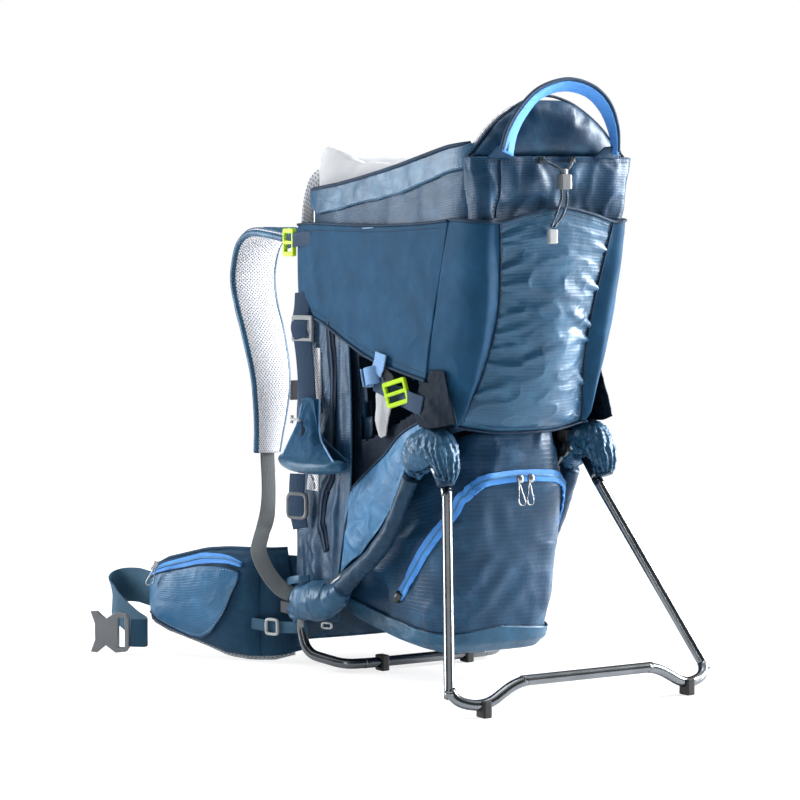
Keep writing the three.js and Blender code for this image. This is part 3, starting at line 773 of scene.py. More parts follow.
class Ring:
    """A body of squarish level rings. Sections are (z, rear, front, rear half, front half)."""

    def __init__(self, sections, power=5.0, aspect=1.5):
        self.sections = sections
        turn, run, last = [], [0.0], None
        for k in range(721):
            a = 2 * math.pi * k / 720
            q = Vector((self.corner(math.sin(a), power),
                        -self.corner(math.cos(a), power) * aspect))
            if last is not None:
                run.append(run[-1] + (q - last).length)
            turn.append(q)
            last = q
        self.unit = [(q.x, q.y / aspect) for q in turn]
        self.run = [r / run[-1] for r in run]

    @staticmethod
    def corner(value, power):
        return math.copysign(abs(value) ** (2 / power), value)

    def level(self, z):
        s = self.sections
        i = 0
        while i < len(s) - 2 and z > s[i + 1][0]:
            i += 1
        t = (z - s[i][0]) / (s[i + 1][0] - s[i][0])
        t = max(-0.3, min(1.3, t))
        return [s[i][k] + (s[i + 1][k] - s[i][k]) * t for k in range(1, 5)]

    def at(self, t, z, out=0.0):
        """t runs round from the middle of the rear, by the left, the front and the right."""
        t = (1 - t) % 1.0
        i = min(max(bisect.bisect_right(self.run, t) - 1, 0), len(self.unit) - 2)
        f = (t - self.run[i]) / max(self.run[i + 1] - self.run[i], 1e-9)
        x = self.unit[i][0] + (self.unit[i + 1][0] - self.unit[i][0]) * f
        y = self.unit[i][1] + (self.unit[i + 1][1] - self.unit[i][1]) * f
        rear, front, rear_half, front_half = self.level(z)
        along = (y + 1) / 2
        half = rear_half + (front_half - rear_half) * along + out
        return Vector((x * half, rear - out + (front - rear + 2 * out) * along, z))

    def rows(self, low, high, nu, nv, t0=0.0, t1=1.0, out=0.0):
        """Rows from low to high; each may be a number or a function of (x, y) there."""
        lines = []
        closed = t1 - t0 >= 1.0
        for j in range(nv + 1):
            line = []
            for i in range(nu if closed else nu + 1):
                t = t0 + (t1 - t0) * i / nu
                p = self.at(t, 400, out)
                for _ in range(3):
                    a = low(p) if callable(low) else low
                    b = high(p) if callable(high) else high
                    p = self.at(t, a + (b - a) * j / nv, out)
                line.append(p)
            lines.append(line)
        return lines


CLOTH_FRAMES = 20


def puff(obj, pressure, cap, voxel):
    """Inflates a closed piece as cloth, keeps the result and rounds it once."""
    remesh = obj.modifiers.new("remesh", "REMESH")
    remesh.mode = "VOXEL"
    remesh.voxel_size = voxel / 1000
    bake(obj)
    start = [v.co.copy() for v in obj.data.vertices]
    modifier = obj.modifiers.new("cloth", "CLOTH")
    modifier.settings.use_pressure = True
    modifier.settings.uniform_pressure_force = pressure
    modifier.settings.effector_weights.gravity = 0
    modifier.settings.quality = 5
    for f in range(1, CLOTH_FRAMES + 1):
        bpy.context.scene.frame_set(f)
    bake(obj)
    bpy.context.scene.frame_set(1)
    for v, s in zip(obj.data.vertices, start):
        move = v.co - s
        if move.length > cap / 1000:
            v.co = s + move.normalized() * (cap / 1000)
    subdivision = obj.modifiers.new("round", "SUBSURF")
    subdivision.levels = 1
    bake(obj)
    for polygon in obj.data.polygons:
        polygon.use_smooth = True


def bake(obj):
    """Applies a piece's modifiers to its mesh."""
    graph = bpy.context.evaluated_depsgraph_get()
    made = bpy.data.meshes.new_from_object(obj.evaluated_get(graph))
    old = obj.data
    made.name = old.name
    obj.modifiers.clear()
    obj.data = made
    if not made.materials:
        made.materials.append(MAT[obj["material"]])


def zip_puller(name, at, foot, across, body, node):
    """A zip slider with its wire loop, in place of a plain CAD block."""
    at, foot, across = Vector(at), Vector(foot), Vector(across).normalized()
    down = (foot - at).normalized()
    slider = pillow(f"{name}_slider", at, across, down, 9, 11, 6, "steel", body, power=3.0,
                    n=10, around=32)
    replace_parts(slider, node)
    length = (foot - at).length
    wire = [(0.0, 0.0), (0.45, 2.2), (0.78, 4.6), (0.95, 3.8), (1.0, 0.0), (0.95, -3.8),
            (0.78, -4.6), (0.45, -2.2), (0.02, -0.4)]
    pipe(f"{name}_loop", [at + across.cross(down) * 3.4 + down * (length * a) + across * b
                          for a, b in wire], 0.95, "steel", body, n=60, sides=10)


def pillow(name, centre, right, up, w, h, t, material, body, power=4.0, dome=0.5,
           n=24, around=64):
    """A closed stuffed pad: a squarish outline in (right, up), domed on both faces."""
    centre, right, up = Vector(centre), Vector(right).normalized(), Vector(up).normalized()
    out = right.cross(up)
    rows = []
    for k in range(n + 1):
        phi = math.pi * k / n
        r = max(max(math.sin(phi), 0.0) ** dome, 0.02)
        d = t / 2 * math.cos(phi)
        row = []
        for i in range(around):
            a = 2 * math.pi * i / around
            x = Ring.corner(math.cos(a), power) * w / 2 * r
            y = Ring.corner(math.sin(a), power) * h / 2 * r
            row.append(centre + right * x + up * y + out * d)
        rows.append(row)
    obj = Grid(rows, closed=True).build(name, material, body, caps=True)
    fix_outside(obj)
    return obj


def gathers(centre, axis, count, height, reach):
    """A push of radial pleats round an axis, fading with distance along it."""
    axis = Vector(axis).normalized()
    helper = axis.orthogonal().normalized()
    other = axis.cross(helper)

    def push(u, v, p):
        d = p - Vector(centre)
        along = abs(d.dot(axis))
        turn = math.atan2(d.dot(other), d.dot(helper))
        wobble = noise.noise(p / 22) * 2.6
        return height * math.sin(turn * count + wobble) * math.exp(-along / reach)
    return push


def push_out(obj, push):
    """Moves a piece's skin along its normals."""
    for v in obj.data.vertices:
        v.co += v.normal * (push(0, 0, mm(v.co)) / 1000)


def ladder_lock(name, centre, w, h, t, turn, material, body, bars=1):
    """A webbing buckle: a rounded frame with bars across, turned about Z."""
    centre = Vector(centre)
    across = Vector((-math.sin(turn), math.cos(turn), 0))
    front = Vector((0, 0, 1)).cross(across)
    rim = []
    for k in range(40):
        a = 2 * math.pi * k / 40
        rim.append((Ring.corner(math.cos(a), 5) * (w - t) / 2,
                    Ring.corner(math.sin(a), 5) * (h - t) / 2))
    rows = []
    for x, z in rim:
        size = math.hypot(x, z)
        ox, oz = x / size, z / size
        row = []
        for i in range(12):
            a = 2 * math.pi * i / 12
            swell = Ring.corner(math.cos(a), 3) * t / 2
            deep = Ring.corner(math.sin(a), 3) * t * 0.62
            row.append(centre + across * (x + ox * swell)
                       + Vector((0, 0, 1)) * (z + oz * swell) + front * deep)
        rows.append(row)
    rows.append(rows[0])
    lock = Grid(rows, closed=True).build(name, material, body)
    fix_outside(lock)
    for b in range(bars):
        z = (b - (bars - 1) / 2) * h * 0.34
        pipe(f"{name}_bar_{b + 1}", [centre + across * (-w / 2 + 2) + Vector((0, 0, z)),
                                     centre + across * (w / 2 - 2) + Vector((0, 0, z))], t * 0.42,
             material, body, n=4, sides=12)
    return lock


# ---- drawcord ----------------------------------------------------------------------------
LOCK_Y = -126


def cord_route(side):
    return [(side * 22, -110, 651), (side * 19, -116, 646), (side * 12, -122, 641),
            (side * 6, -125.4, 637), (side * 4, LOCK_Y, 632), (side * 4, LOCK_Y, 622),
            (side * 4, LOCK_Y, 612), (side * 4, LOCK_Y, 603), (side * 5 - 2, LOCK_Y, 594),
            (side * 5 - 7, LOCK_Y, 583), (side * 3.6 - 12.5, LOCK_Y, 574),
            (side * 2.2 - 17, LOCK_Y, 568)]


for side, word in SIDES:
    path = smooth_path(cord_route(side), 30)
    strand = pipe(f"drawcord_strand_{word}", path, 1.5, "cord", "pack", n=30, sides=10,
                  smooth=False)
    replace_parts(strand, f"drawcord_{word}")

# ---- frame tubes -------------------------------------------------------------------------
TUBE_R = 6.5


def across_middle(half):
    return half + [(-x, y, z, *r) for x, y, z, *r in reversed(half)]


kick = rounded(across_middle([
    (-113, 3, 300), (-113, -44, 250, 60), (-190, -167, 22, 46), (-149, -178, 11, 50),
    (-101, -177, 38, 72)]), 12)
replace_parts(pipe("kickstand_frame", kick, TUBE_R, "tube", "kickstand", n=260, sides=24),
            "kickstand_tube")
arms = rounded(across_middle([
    (-96, -13, 296), (-96, 4, 290, 20), (-110, 50, 258, 26), (-116, 58, 204, 50),
    (-128, 128, 146, 60), (-138, 216, 96, 50), (-143, 254, 62, 26), (-141, 240, 20, 30),
    (-118, 184, 11, 36), (-84, 178, 11, 20)]), 9)
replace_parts(pipe("base_frame", arms, TUBE_R, "tube", "pack", n=300, sides=24),
            "base_frame_tube")
inner = rounded([(-100, 277, 74), (-100, 277, 632, 60), (100, 277, 632, 60), (100, 277, 74)], 10)
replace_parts(pipe("back_frame", inner, TUBE_R, "tube", "pack", n=160, sides=20),
            "back_frame_tube")

# ---- cockpit -----------------------------------------------------------------------------
SHELL = Ring([(240, 0, 258, 70, 108), (290, -14, 261, 76, 116), (324, -30, 262, 80, 119),
              (352, -46, 263, 94, 121), (400, -62, 265, 106, 123), (460, -76, 268, 113, 125),
              (540, -90, 274, 118, 127), (590, -98, 278, 118, 128), (670, -105, 280, 115, 127)],
             power=8.0)


def rim_height(p):
    if p.y < -92:
        return 650
    return pick([667, 661, 651, 641, 632, 624, 617, 612, 608], max(0, min(1, (p.y + 100) / 380)))


def shell_floor(p):
    return 324 - 84 * max(0, min(1, (p.y + 30) / 290))


def in_leg_hole(p):
    if abs(p.x) < 60 or not 2 < p.y < 158:
        return False
    low = 362 - (p.y - 8) * 0.52
    high = 376 + (p.y - 8) * 0.27
    return max(low, 284) < p.z < high


outer = Grid(SHELL.rows(shell_floor, rim_height, 150, 44, out=-1),
             faded(crumple(3.2, 70, 2.0, (1, 1, 0.6)), 0.04), closed=True, outward=(0, 1, 0))
shell = outer.build("cockpit_body", "ripstop", "pack", thick=10, skip=in_leg_hole)
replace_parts(shell, "cockpit_shell")
lining = Grid(SHELL.rows(lambda p: shell_floor(p) + 12, lambda p: rim_height(p) - 14, 120, 30,
                         out=-12.5), None, closed=True, outward=(0, 1, 0))
# The lining's near-black cloth is painted shade: it is the dark seen deep inside the leg opening.
cloth(lining, "cockpit_lining", "dark", "pack", thick=1.0, skip=in_leg_hole)

# Rim band: a smooth band round the top of the cockpit, above a seam.
def band_low(p):
    return rim_height(p) - pick([26, 28, 31, 33, 31, 29, 30, 31, 8],
                                max(0, min(1, (p.y + 100) / 380)))


band = Grid(SHELL.rows(band_low, lambda p: rim_height(p) + 2, 150, 10, t0=0.1, t1=0.9, out=2.0),
            faded(crumple(2.4, 46, 8.0, (0.8, 0.8, 1.4)), 0.1), outward=(0, 1, 0))
cloth(band, "rim_band", "panel", "pack", thick=2.0)
rim_line = [SHELL.at(0.1 + 0.8 * k / 90, 600, 0.5) for k in range(91)]
rim_line = [Vector((p.x, p.y, rim_height(p) + 2.5)) for p in rim_line]
pipe("rim_piping", rim_line, 2.6, "piping", "pack", n=150, sides=10)
seam_line = [SHELL.at(0.1 + 0.8 * k / 90, 585, 2.5) for k in range(91)]
seam_line = [Vector((p.x, p.y, band_low(p) - 1)) for p in seam_line]
stitches("rim_seam", band, [[(p.x, p.y, p.z + 4) for p in seam_line]], "pack", lift=0.5)

# Rear panel: from the pocket up to the seam under the headrest.
rear_rows = [
    [(-108, -72, 560), (-101, -101, 566), (-60, -104, 570), (0, -104, 572), (60, -104, 570),
     (101, -101, 566), (108, -72, 560)],
    [(-110, -76, 600), (-104, -106, 604), (-60, -108, 606), (0, -107, 606), (60, -108, 606),
     (104, -106, 604), (110, -76, 600)],
    [(-114, -80, 636), (-112, -104, 640), (-60, -109, 642), (0, -108, 642), (60, -109, 642),
     (112, -104, 640), (114, -80, 636)],
    [(-116, -82, 650), (-114, -104, 651), (-60, -108, 652), (0, -108, 652), (60, -108, 652),
     (114, -104, 651), (116, -82, 650)],
]
rear = Grid(patch(rear_rows, 90, 40),
            both(faded(crumple(3.0, 40, 3.0, (1, 1, 0.7)), 0.06),
                 folds([((-40, -106, 648), (-6, -106, 606), 9, 2.2),
                        ((38, -106, 648), (8, -106, 610), 9, 2.2),
                        ((-86, -104, 640), (-70, -104, 590), 12, 2.0),
                        ((88, -104, 640), (76, -104, 590), 12, 2.4),
                        ((-84, -104, 588), (0, -106, 600), 20, -9.0),
                        ((-98, -104, 648), (-92, -104, 570), 5, 3.0),
                        ((4, -106, 612), (70, -104, 584), 16, -4.0),
                        ((-24, -106, 640), (-44, -106, 596), 14, 4.0)])), outward=(0, -1, 0))
cloth(rear, "rear_panel", "ripstop", "pack", thick=1.6)
stitches("rear_seam", rear, [[(-112, -106, 645.5), (-60, -108, 646), (0, -108, 646),
                              (60, -108, 646), (112, -106, 645.5)],
                             [(-82, -107, 640), (-84, -106, 610), (-88, -105, 584)]],
         "pack", lift=0.4, material="dark_thread")
pipe("rear_side_seam", [rear.snap([p], 0.6)[0][0] for p in
                        [(-80 - 0.1 * k, -107, 648 - 3.6 * k) for k in range(20)]], 0.9, "piping",
     "pack", n=60, sides=8)
for side, word in SIDES:
    ribbon(f"drawcord_eyelet_{word}", [(side * 22 - 4, -110.5, 648), (side * 22 + 4, -110.5, 648)],
           (0, 0, 1), 7, 2.2, "dark_plastic", "pack", n=8)

# Headrest: a padded dome with a pale mesh face towards the child.
def dome_half(z):
    return pick([114, 104, 93, 82, 68, 48, 14], max(0, min(1, (z - 651) / 72)))


def dome_rows(y_out, y_in, inset, nz=16, nx=48):
    rows = []
    for j in range(nz + 1):
        z = 652 + (70 - inset) * math.sin(math.pi / 2 * j / nz)
        half = max(dome_half(z) - inset, 8)
        thick = (y_in - y_out) * (1 - 0.35 * (j / nz) ** 3) / 2
        middle = (y_in + y_out) / 2
        row = []
        for i in range(nx):
            a = 2 * math.pi * i / nx
            x = Ring.corner(math.sin(a), 5.5) * half
            y = middle - Ring.corner(math.cos(a), 2.6) * thick
            row.append(Vector((x, y, z)))
        rows.append(row)
    return rows


dome_push = folds([
    ((-30, -104, 722), (-20, -104, 690), 5, 2.6), ((-8, -104, 723), (-4, -104, 694), 5, 2.8),
    ((14, -104, 722), (10, -104, 688), 5, 2.4), ((34, -104, 716), (24, -104, 684), 6, 2.6),
    ((-54, -104, 704), (-36, -104, 676), 7, 2.2), ((62, -104, 698), (40, -104, 672), 7, 2.4),
    ((84, -104, 680), (58, -104, 664), 7, 1.8), ((-84, -104, 682), (-60, -104, 664), 7, 1.8)])
dome_grid = Grid(dome_rows(-103, -75, 2.5), both(dome_push, crumple(1.6, 34, 4.0)),
                 closed=True, outward=(0, 1, 0))
headrest = dome_grid.build("headrest_pad", "ripstop", "pack", caps=True)
fix_outside(headrest)
puff(headrest, pressure=3.0, cap=5.0, voxel=4.5)
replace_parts(headrest, "headrest")
inner_face = Grid([[Vector((x * max(dome_half(z) - 5, 6), -64.5 - 6 * x * x, z))
                    for x in [k / 20 - 1 for k in range(41)]]
                   for z in [640 + 5.4 * j for j in range(15)]],
                  crumple(1.2, 40, 6.0), outward=(0, 1, 0))
cloth(inner_face, "headrest_mesh", "spacer", "pack", thick=3.0)
dome_edge = [(-114, -90, 652), (-104, -90, 662), (-93, -90, 674), (-80, -90, 687),
             (-58, -89, 704), (-32, -88, 718), (0, -88, 725), (32, -88, 718), (58, -89, 704),
             (80, -90, 687), (93, -90, 674), (104, -90, 662), (114, -90, 652)]
pipe("headrest_piping", dome_edge, 1.8, "piping", "pack", n=90, sides=10)

# Carrying handle: a tubular webbing strip outside, a bright ribbed one inside.
def handle_arc(lift):
    pts = [(-84, 657), (-76, 682), (-60, 706), (-36, 727), (0, 737.5), (36, 731), (60, 712),
           (73, 684), (76, 657)]
    return [(x * (1 - lift / 90), -126, z - lift) for x, z in pts]


handle_across = [(0.96, 0.28, 0.0), (0.6, 0.6, -0.55), (0.0, 0.8, -0.6), (-0.1, 0.95, -0.25),
                 (0.3, 0.95, 0.0)]
outer_handle = ribbon("top_handle_outer", handle_arc(-1.2), handle_across, 21, 3.4, "navy_web",
                      "pack", n=70, crown=0.25)
ribbon("top_handle_inner", handle_arc(2.2), handle_across, 19, 2.2, "handle", "pack", n=70)
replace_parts(outer_handle, "top_handle")
for side, word in SIDES:
    x = side * 77 - 2
    foot = Grid(patch([[(x - 19, -108, 650), (x, -111, 650), (x + 19, -108, 650)],
                       [(x - 15, -113, 656), (x, -118, 657), (x + 15, -113, 656)],
                       [(x - 11, -119, 663), (x, -125, 664), (x + 11, -119, 663)]], 16, 10),
                crumple(0.8, 12, 9.0), outward=(0, -1, 0))
    cloth(foot, f"handle_patch_{word}", "ripstop", "pack", thick=2.0)

# ---- front pocket ------------------------------------------------------------------------
panel_rows = [
    [(-91, -35, 327), (-45, -46, 320), (0, -49, 319), (45, -46, 320), (91, -35, 327)],
    [(-87, -44, 343), (-44, -66, 338), (0, -72, 338), (44, -66, 338), (87, -44, 343)],
    [(-74, -64, 395), (-37, -85, 394), (0, -92, 394), (37, -85, 394), (74, -64, 395)],
    [(-69, -86, 460), (-34, -99, 460), (0, -104, 460), (34, -99, 460), (69, -86, 460)],
    [(-75, -101, 520), (-38, -110, 523), (0, -114, 524), (38, -110, 523), (75, -101, 520)],
    [(-83, -111, 573), (-45, -117, 583), (0, -120, 590), (45, -117, 583), (83, -111, 573)],
]
panel_push = both(
    faded(crumple(3.2, 44, 1.0, (0.55, 1, 1.5)), 0.05),
    folds([((-60, -100, 505), (40, -105, 486), 8, 2.4), ((-70, -95, 470), (30, -98, 452), 8, 2.2),
           ((-66, -88, 440), (50, -96, 428), 9, 2.6), ((60, -94, 470), (-10, -100, 448), 9, 2.2),
           ((-76, -74, 404), (34, -86, 392), 9, 2.4), ((66, -80, 420), (0, -92, 402), 8, 2.0),
           ((-80, -60, 376), (10, -80, 362), 8, 2.0), ((72, -66, 380), (6, -80, 366), 8, 2.2)]),
    puckers([((-77, 0, 556), (-40, 0, 566), 5, 3.4), ((-74, 0, 517), (-30, 0, 534), 6, 3.6),
             ((-71, 0, 498), (-34, 0, 500), 5, 2.6), ((-70, 0, 458), (-34, 0, 470), 5, 3.4),
             ((-70, 0, 440), (-20, 0, 452), 5, 3.2), ((-72, 0, 421), (-24, 0, 428), 5, 3.6),
             ((-74, 0, 405), (-30, 0, 398), 5, 3.2), ((-80, 0, 366), (-36, 0, 384), 6, 3.6),
             ((77, 0, 540), (44, 0, 548), 5, 2.6), ((73, 0, 493), (30, 0, 506), 6, 3.6),
             ((70, 0, 448), (16, 0, 470), 7, 4.0), ((72, 0, 430), (20, 0, 440), 5, 3.4),
             ((78, 0, 376), (40, 0, 398), 6, 3.2), ((-30, 0, 408), (40, 0, 430), 8, 3.0),
             ((50, 0, 462), (-24, 0, 436), 8, 3.0)]))
panel = Grid(patch(panel_rows, 90, 120), panel_push, outward=(0, -1, 0))
pocket = cloth(panel, "front_pocket_panel", "panel", "pack", thick=1.6)
gusset_rows = [
    [(-91, -35, 327), (-97, -38, 327), (-101, -24, 330), (-107, 12, 336)],
    [(-87, -44, 343), (-95, -54, 346), (-105, -34, 350), (-114, 2, 362)],
    [(-74, -64, 395), (-92, -75, 397), (-109, -52, 399), (-120, -10, 400)],
    [(-69, -86, 460), (-92, -93, 460), (-112, -70, 460), (-120, -27, 460)],
    [(-75, -101, 520), (-98, -104, 520), (-115, -82, 520), (-120, -42, 522)],
    [(-83, -111, 573), (-102, -109, 574), (-116, -88, 575), (-119, -56, 576)],
]
gusset_push = both(faded(crumple(1.6, 50, 5.0, (1, 1, 0.5)), 0.1),
                   folds([((-86, -88, 480), (-112, -60, 440), 9, 2.0),
                          ((-80, -76, 420), (-114, -30, 372), 9, 2.4),
                          ((-88, -52, 350), (-110, 0, 352), 7, 1.6)]))
gusset_left = Grid(patch(gusset_rows, 36, 100), gusset_push, outward=(-1, -1, 0))
gusset_right = gusset_left.mirrored()
cloth(gusset_left, "pocket_gusset_left", "stretch", "pack", thick=1.6)
cloth(gusset_right, "pocket_gusset_right", "stretch", "pack", thick=1.6)
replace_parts(pocket, "front_pocket")
hem_line = [(-118, -58, 577), (-116, -88, 576), (-102, -110, 575), (-83, -112, 574),
            (-45, -118, 584), (0, -121, 591), (45, -118, 584), (83, -112, 574),
            (102, -110, 575), (116, -88, 576), (118, -58, 577)]
pipe("pocket_hem", hem_line, 2.0, "piping", "pack", n=110, sides=10)
seam = [row[0] for row in panel_rows]
for side, word in SIDES:
    line = [(-side * x, y - 1.2, z) for x, y, z in seam]
    pipe(f"pocket_seam_{word}", line, 1.1, "piping", "pack", n=90, sides=8)
stitches("pocket_stitching", panel,
         [[(x * 0.96, y, z) for x, y, z in seam], [(-x * 0.96, y, z) for x, y, z in seam],
          [(-80, -112, 567), (-45, -117, 577), (0, -120, 584), (45, -117, 577), (80, -112, 567)],
          [(-87, -42, 334), (-45, -52, 327), (0, -56, 326), (45, -52, 327), (87, -42, 334)]],
         "pack", material="dark_thread")
pipe("pocket_bottom_edge", [(-107, 12, 335), (-99, -36, 327), (-91, -37, 326), (-45, -47, 319),
                            (0, -50, 318), (45, -47, 319), (91, -37, 326), (99, -36, 327),
                            (107, 12, 335)], 1.8, "piping", "pack", n=90, sides=10)

# ---- wing pockets, one on each side ------------------------------------------------------
wing_rows = [
    [(-130, 274, 458), (-131, 218, 447), (-129, 160, 424), (-127, 105, 405), (-124, 40, 392),
     (-121, -8, 383)],
    [(-131, 276, 490), (-132, 226, 484), (-131, 160, 466), (-129, 90, 452), (-125, 22, 450),
     (-121, -24, 452)],
    [(-131, 277, 530), (-132, 234, 528), (-130, 165, 518), (-128, 80, 514), (-124, 5, 518),
     (-120, -43, 524)],
    [(-130, 277, 567), (-132, 239, 569), (-129, 165, 568), (-126, 80, 568), (-123, 0, 571),
     (-120, -56, 575)],
]
wing_push = both(faded(crumple(2.0, 70, 7.0, (1, 0.8, 0.8)), 0.06),
                 folds([((-131, 245, 560), (-131, 222, 460), 10, 2.2),
                        ((-128, 150, 470), (-122, -10, 420), 16, 2.0),
                        ((-127, 30, 560), (-122, -20, 470), 14, 1.8)]))
wing_left = Grid(patch(wing_rows, 100, 60), wing_push, outward=(-1, 0, 0))
wing_right = wing_left.mirrored()
for grid, side, word in ((wing_left, -1, "left"), (wing_right, 1, "right")):
    piece = cloth(grid, f"wing_pocket_{word}", "stretch", "pack", thick=1.6)
    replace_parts(piece, f"side_pocket_{word}")

    s = partial(on_side, side)
    pipe(f"wing_edge_{word}", s([(-130, 276, 457), (-132, 218, 445.5), (-130, 160, 422.5),
                                 (-128, 105, 403.5), (-125, 40, 390.5), (-122, -10, 382)]),
         1.9, "piping", "pack", n=90, sides=10)
    pipe(f"wing_hem_{word}", s([(-130, 278, 568), (-132.5, 239, 570), (-129.5, 165, 569),
                                (-126.5, 80, 569), (-123.5, 0, 572), (-120.5, -56, 576)]),
         1.7, "piping", "pack", n=90, sides=10)
    stitches(f"wing_stitching_{word}", grid,
             [s([(-131, 262, 561), (-131, 165, 561), (-127, 80, 561), (-122, -48, 567)]),
              s([(-130, 262, 465), (-131, 218, 455), (-129, 160, 432), (-127, 105, 413),
                 (-124, 40, 400), (-121, -6, 391)])], "pack", material="dark_thread")
    bar = [s([(-127, 122, 565), (-127, 100, 566)])]
    stitches(f"wing_bartack_{word}", grid, bar, "pack", pitch=2.2, length=5.4, radius=0.6,
             lift=0.5)

# ---- storage bag -------------------------------------------------------------------------
BAG = Ring([(40, 18, 172, 74, 92), (54, 4, 208, 86, 102), (100, -7, 248, 93, 111),
            (180, -25, 256, 92, 116), (250, -43, 258, 85, 114), (316, -38, 258, 68, 111)],
           power=4.6)


def bag_low(p):
    return 44 + 34 * max(0, min(1, (p.y - 10) / 190)) ** 1.2


def bag_high(p):
    return 318 - 86 * max(0, min(1, (p.y + 20) / 200))


bag_push = both(
    faded(crumple(4.6, 64, 11.0, (0.9, 0.9, 0.8)), 0.05),
    folds([((-60, -44, 300), (40, -44, 296), 9, 2.6), ((-80, -30, 286), (30, -44, 280), 8, 2.2),
           ((-96, 10, 160), (-90, -14, 90), 12, 2.4), ((-94, 20, 90), (-40, 0, 70), 10, 2.2),
           ((40, 0, 66), (84, 10, 120), 10, 2.2), ((-20, -2, 76), (60, -4, 64), 8, 1.8),
           ((-90, 10, 210), (-96, 70, 150), 14, 4.0), ((-100, 60, 240), (-108, 100, 170), 12, 3.5),
           ((-60, -40, 240), (-70, -20, 110), 16, 3.0), ((50, -40, 230), (40, -10, 110), 18, -2.4)]),
    folds([((-78, -4, 96), (-24, -20, 172), 13, 3.6), ((-46, -6, 90), (6, -20, 160), 12, 3.2),
           ((-10, -4, 88), (36, -14, 136), 11, 2.8), ((-58, -34, 232), (-40, -26, 176), 10, 3.0),
           ((-30, -38, 240), (-14, -32, 190), 9, 2.6)]),
    puckers([((-94, 0, 300), (-60, 0, 280), 7, 3.0), ((-40, 0, 316), (-34, 0, 288), 7, 2.6),
             ((30, 0, 316), (24, 0, 290), 7, 2.6), ((84, 0, 300), (56, 0, 284), 7, 3.0)]))
bag_grid = Grid(BAG.rows(bag_low, bag_high, 150, 60, out=-1.5), bag_push, closed=True,
                outward=(0, 1, 0))
bag = bag_grid.build("storage_bag_body", "ripstop", "pack", caps=True)
fix_outside(bag)
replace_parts(bag, "storage_bag")
arch = [(-99, 84, 108), (-98, 60, 136), (-98, 34, 166), (-96, 6, 196), (-92, -20, 226),
        (-84, -38, 248), (-66, -44, 259), (-30, -44, 263), (0, -44, 264), (30, -44, 263),
        (66, -44, 259), (84, -38, 248), (92, -20, 226), (96, 6, 196), (98, 34, 166),
        (98, 60, 136), (99, 84, 108)]
strap_on(bag_grid, "bag_zip_tape", arch, 15, 2.2, "band", "pack", lift=1.4, n=150)
strap_on(bag_grid, "bag_zip_coil", arch, 2.6, 2.2, "pale_fabric_and_painted_light", "pack", lift=2.2, n=150)
stitches("bag_zip_stitching", bag_grid, [[(x, y + 5, z + 4.5) for x, y, z in arch]], "pack",
         lift=0.8)
garage = bag_grid.snap([(-99, 84, 108)], 2.5)[0][0]
pipe("bag_zip_garage", [garage + Vector((0, -4, 5)), garage, garage + Vector((0, 5, -6))],
     [4.5, 6, 4.5], "dark_plastic", "pack", n=12, sides=12)


def base_top(p):
    return bag_low(p) + 30 - 10 * abs(p.x) / 100


base_line = [BAG.at(k / 60, 70, 0.6) for k in range(61)]
base_line = [Vector((p.x, p.y, base_top(p))) for p in base_line]
pipe("bag_base_seam", [bag_grid.snap([p], 0.4)[0][0] for p in base_line], 1.2, "piping", "pack",
     n=140, sides=8)
base_grid = Grid(BAG.rows(lambda p: bag_low(p) - 3, base_top, 150, 12, out=1.6),
                 faded(crumple(2.6, 24, 21.0), 0.1), closed=True, outward=(0, 1, 0))
cloth(base_grid, "bag_base_panel", "base", "pack", thick=1.4)


# ---- side panels, leg openings and seat --------------------------------------------------
side_rows = [
    [(-126, 186, 66), (-132, 215, 62), (-134, 250, 62), (-131, 280, 64), (-118, 290, 66)],
    [(-127, 182, 125), (-130, 205, 128), (-132, 245, 130), (-131, 280, 130), (-118, 290, 130)],
    [(-127, 168, 180), (-129, 200, 185), (-131, 243, 190), (-131, 280, 190), (-118, 290, 190)],
    [(-126, 156, 235), (-129, 198, 240), (-130, 240, 245), (-130, 280, 250), (-118, 290, 250)],
    [(-126, 154, 340), (-128, 195, 340), (-129, 240, 340), (-129, 280, 340), (-118, 290, 340)],
    [(-126, 160, 440), (-128, 200, 445), (-129, 240, 452), (-129, 280, 466), (-118, 290, 470)],
]
side_push = both(
    faded(crumple(3.4, 44, 15.0, (1, 1.3, 0.4)), 0.05),
    folds([((-126, 176, 420), (-126, 172, 250), 9, 3.4), ((-129, 240, 200), (-131, 226, 100), 8, 3.6),
           ((-129, 262, 190), (-131, 254, 90), 7, -3.2), ((-126, 184, 240), (-129, 196, 150), 8, 3.0),
           ((-128, 272, 180), (-131, 214, 140), 8, 3.2), ((-131, 262, 150), (-132, 206, 112), 8, 3.0),
           ((-128, 190, 210), (-131, 236, 168), 7, 2.6)]))
side_left = Grid(patch(side_rows, 60, 150), side_push, outward=(-1, 0, 0))
leg_rows = [
    [(-118, 182, 215), (-114, 120, 240), (-108, 50, 280), (-98, -16, 318)],
    [(-119, 174, 300), (-112, 120, 305), (-107, 50, 325), (-100, -28, 345)],
    [(-120, 168, 380), (-114, 120, 378), (-109, 50, 374), (-106, -34, 372)],
    [(-124, 166, 444), (-120, 120, 425), (-116, 50, 405), (-114, -34, 394)],
]


def deep_leg_hole(p):
    y = p.y
    low = 354 - (y - 4) * 0.42
    high = 382 + (y - 4) * 0.16
    return 12 < y < 146 and max(low, 300) < p.z < high


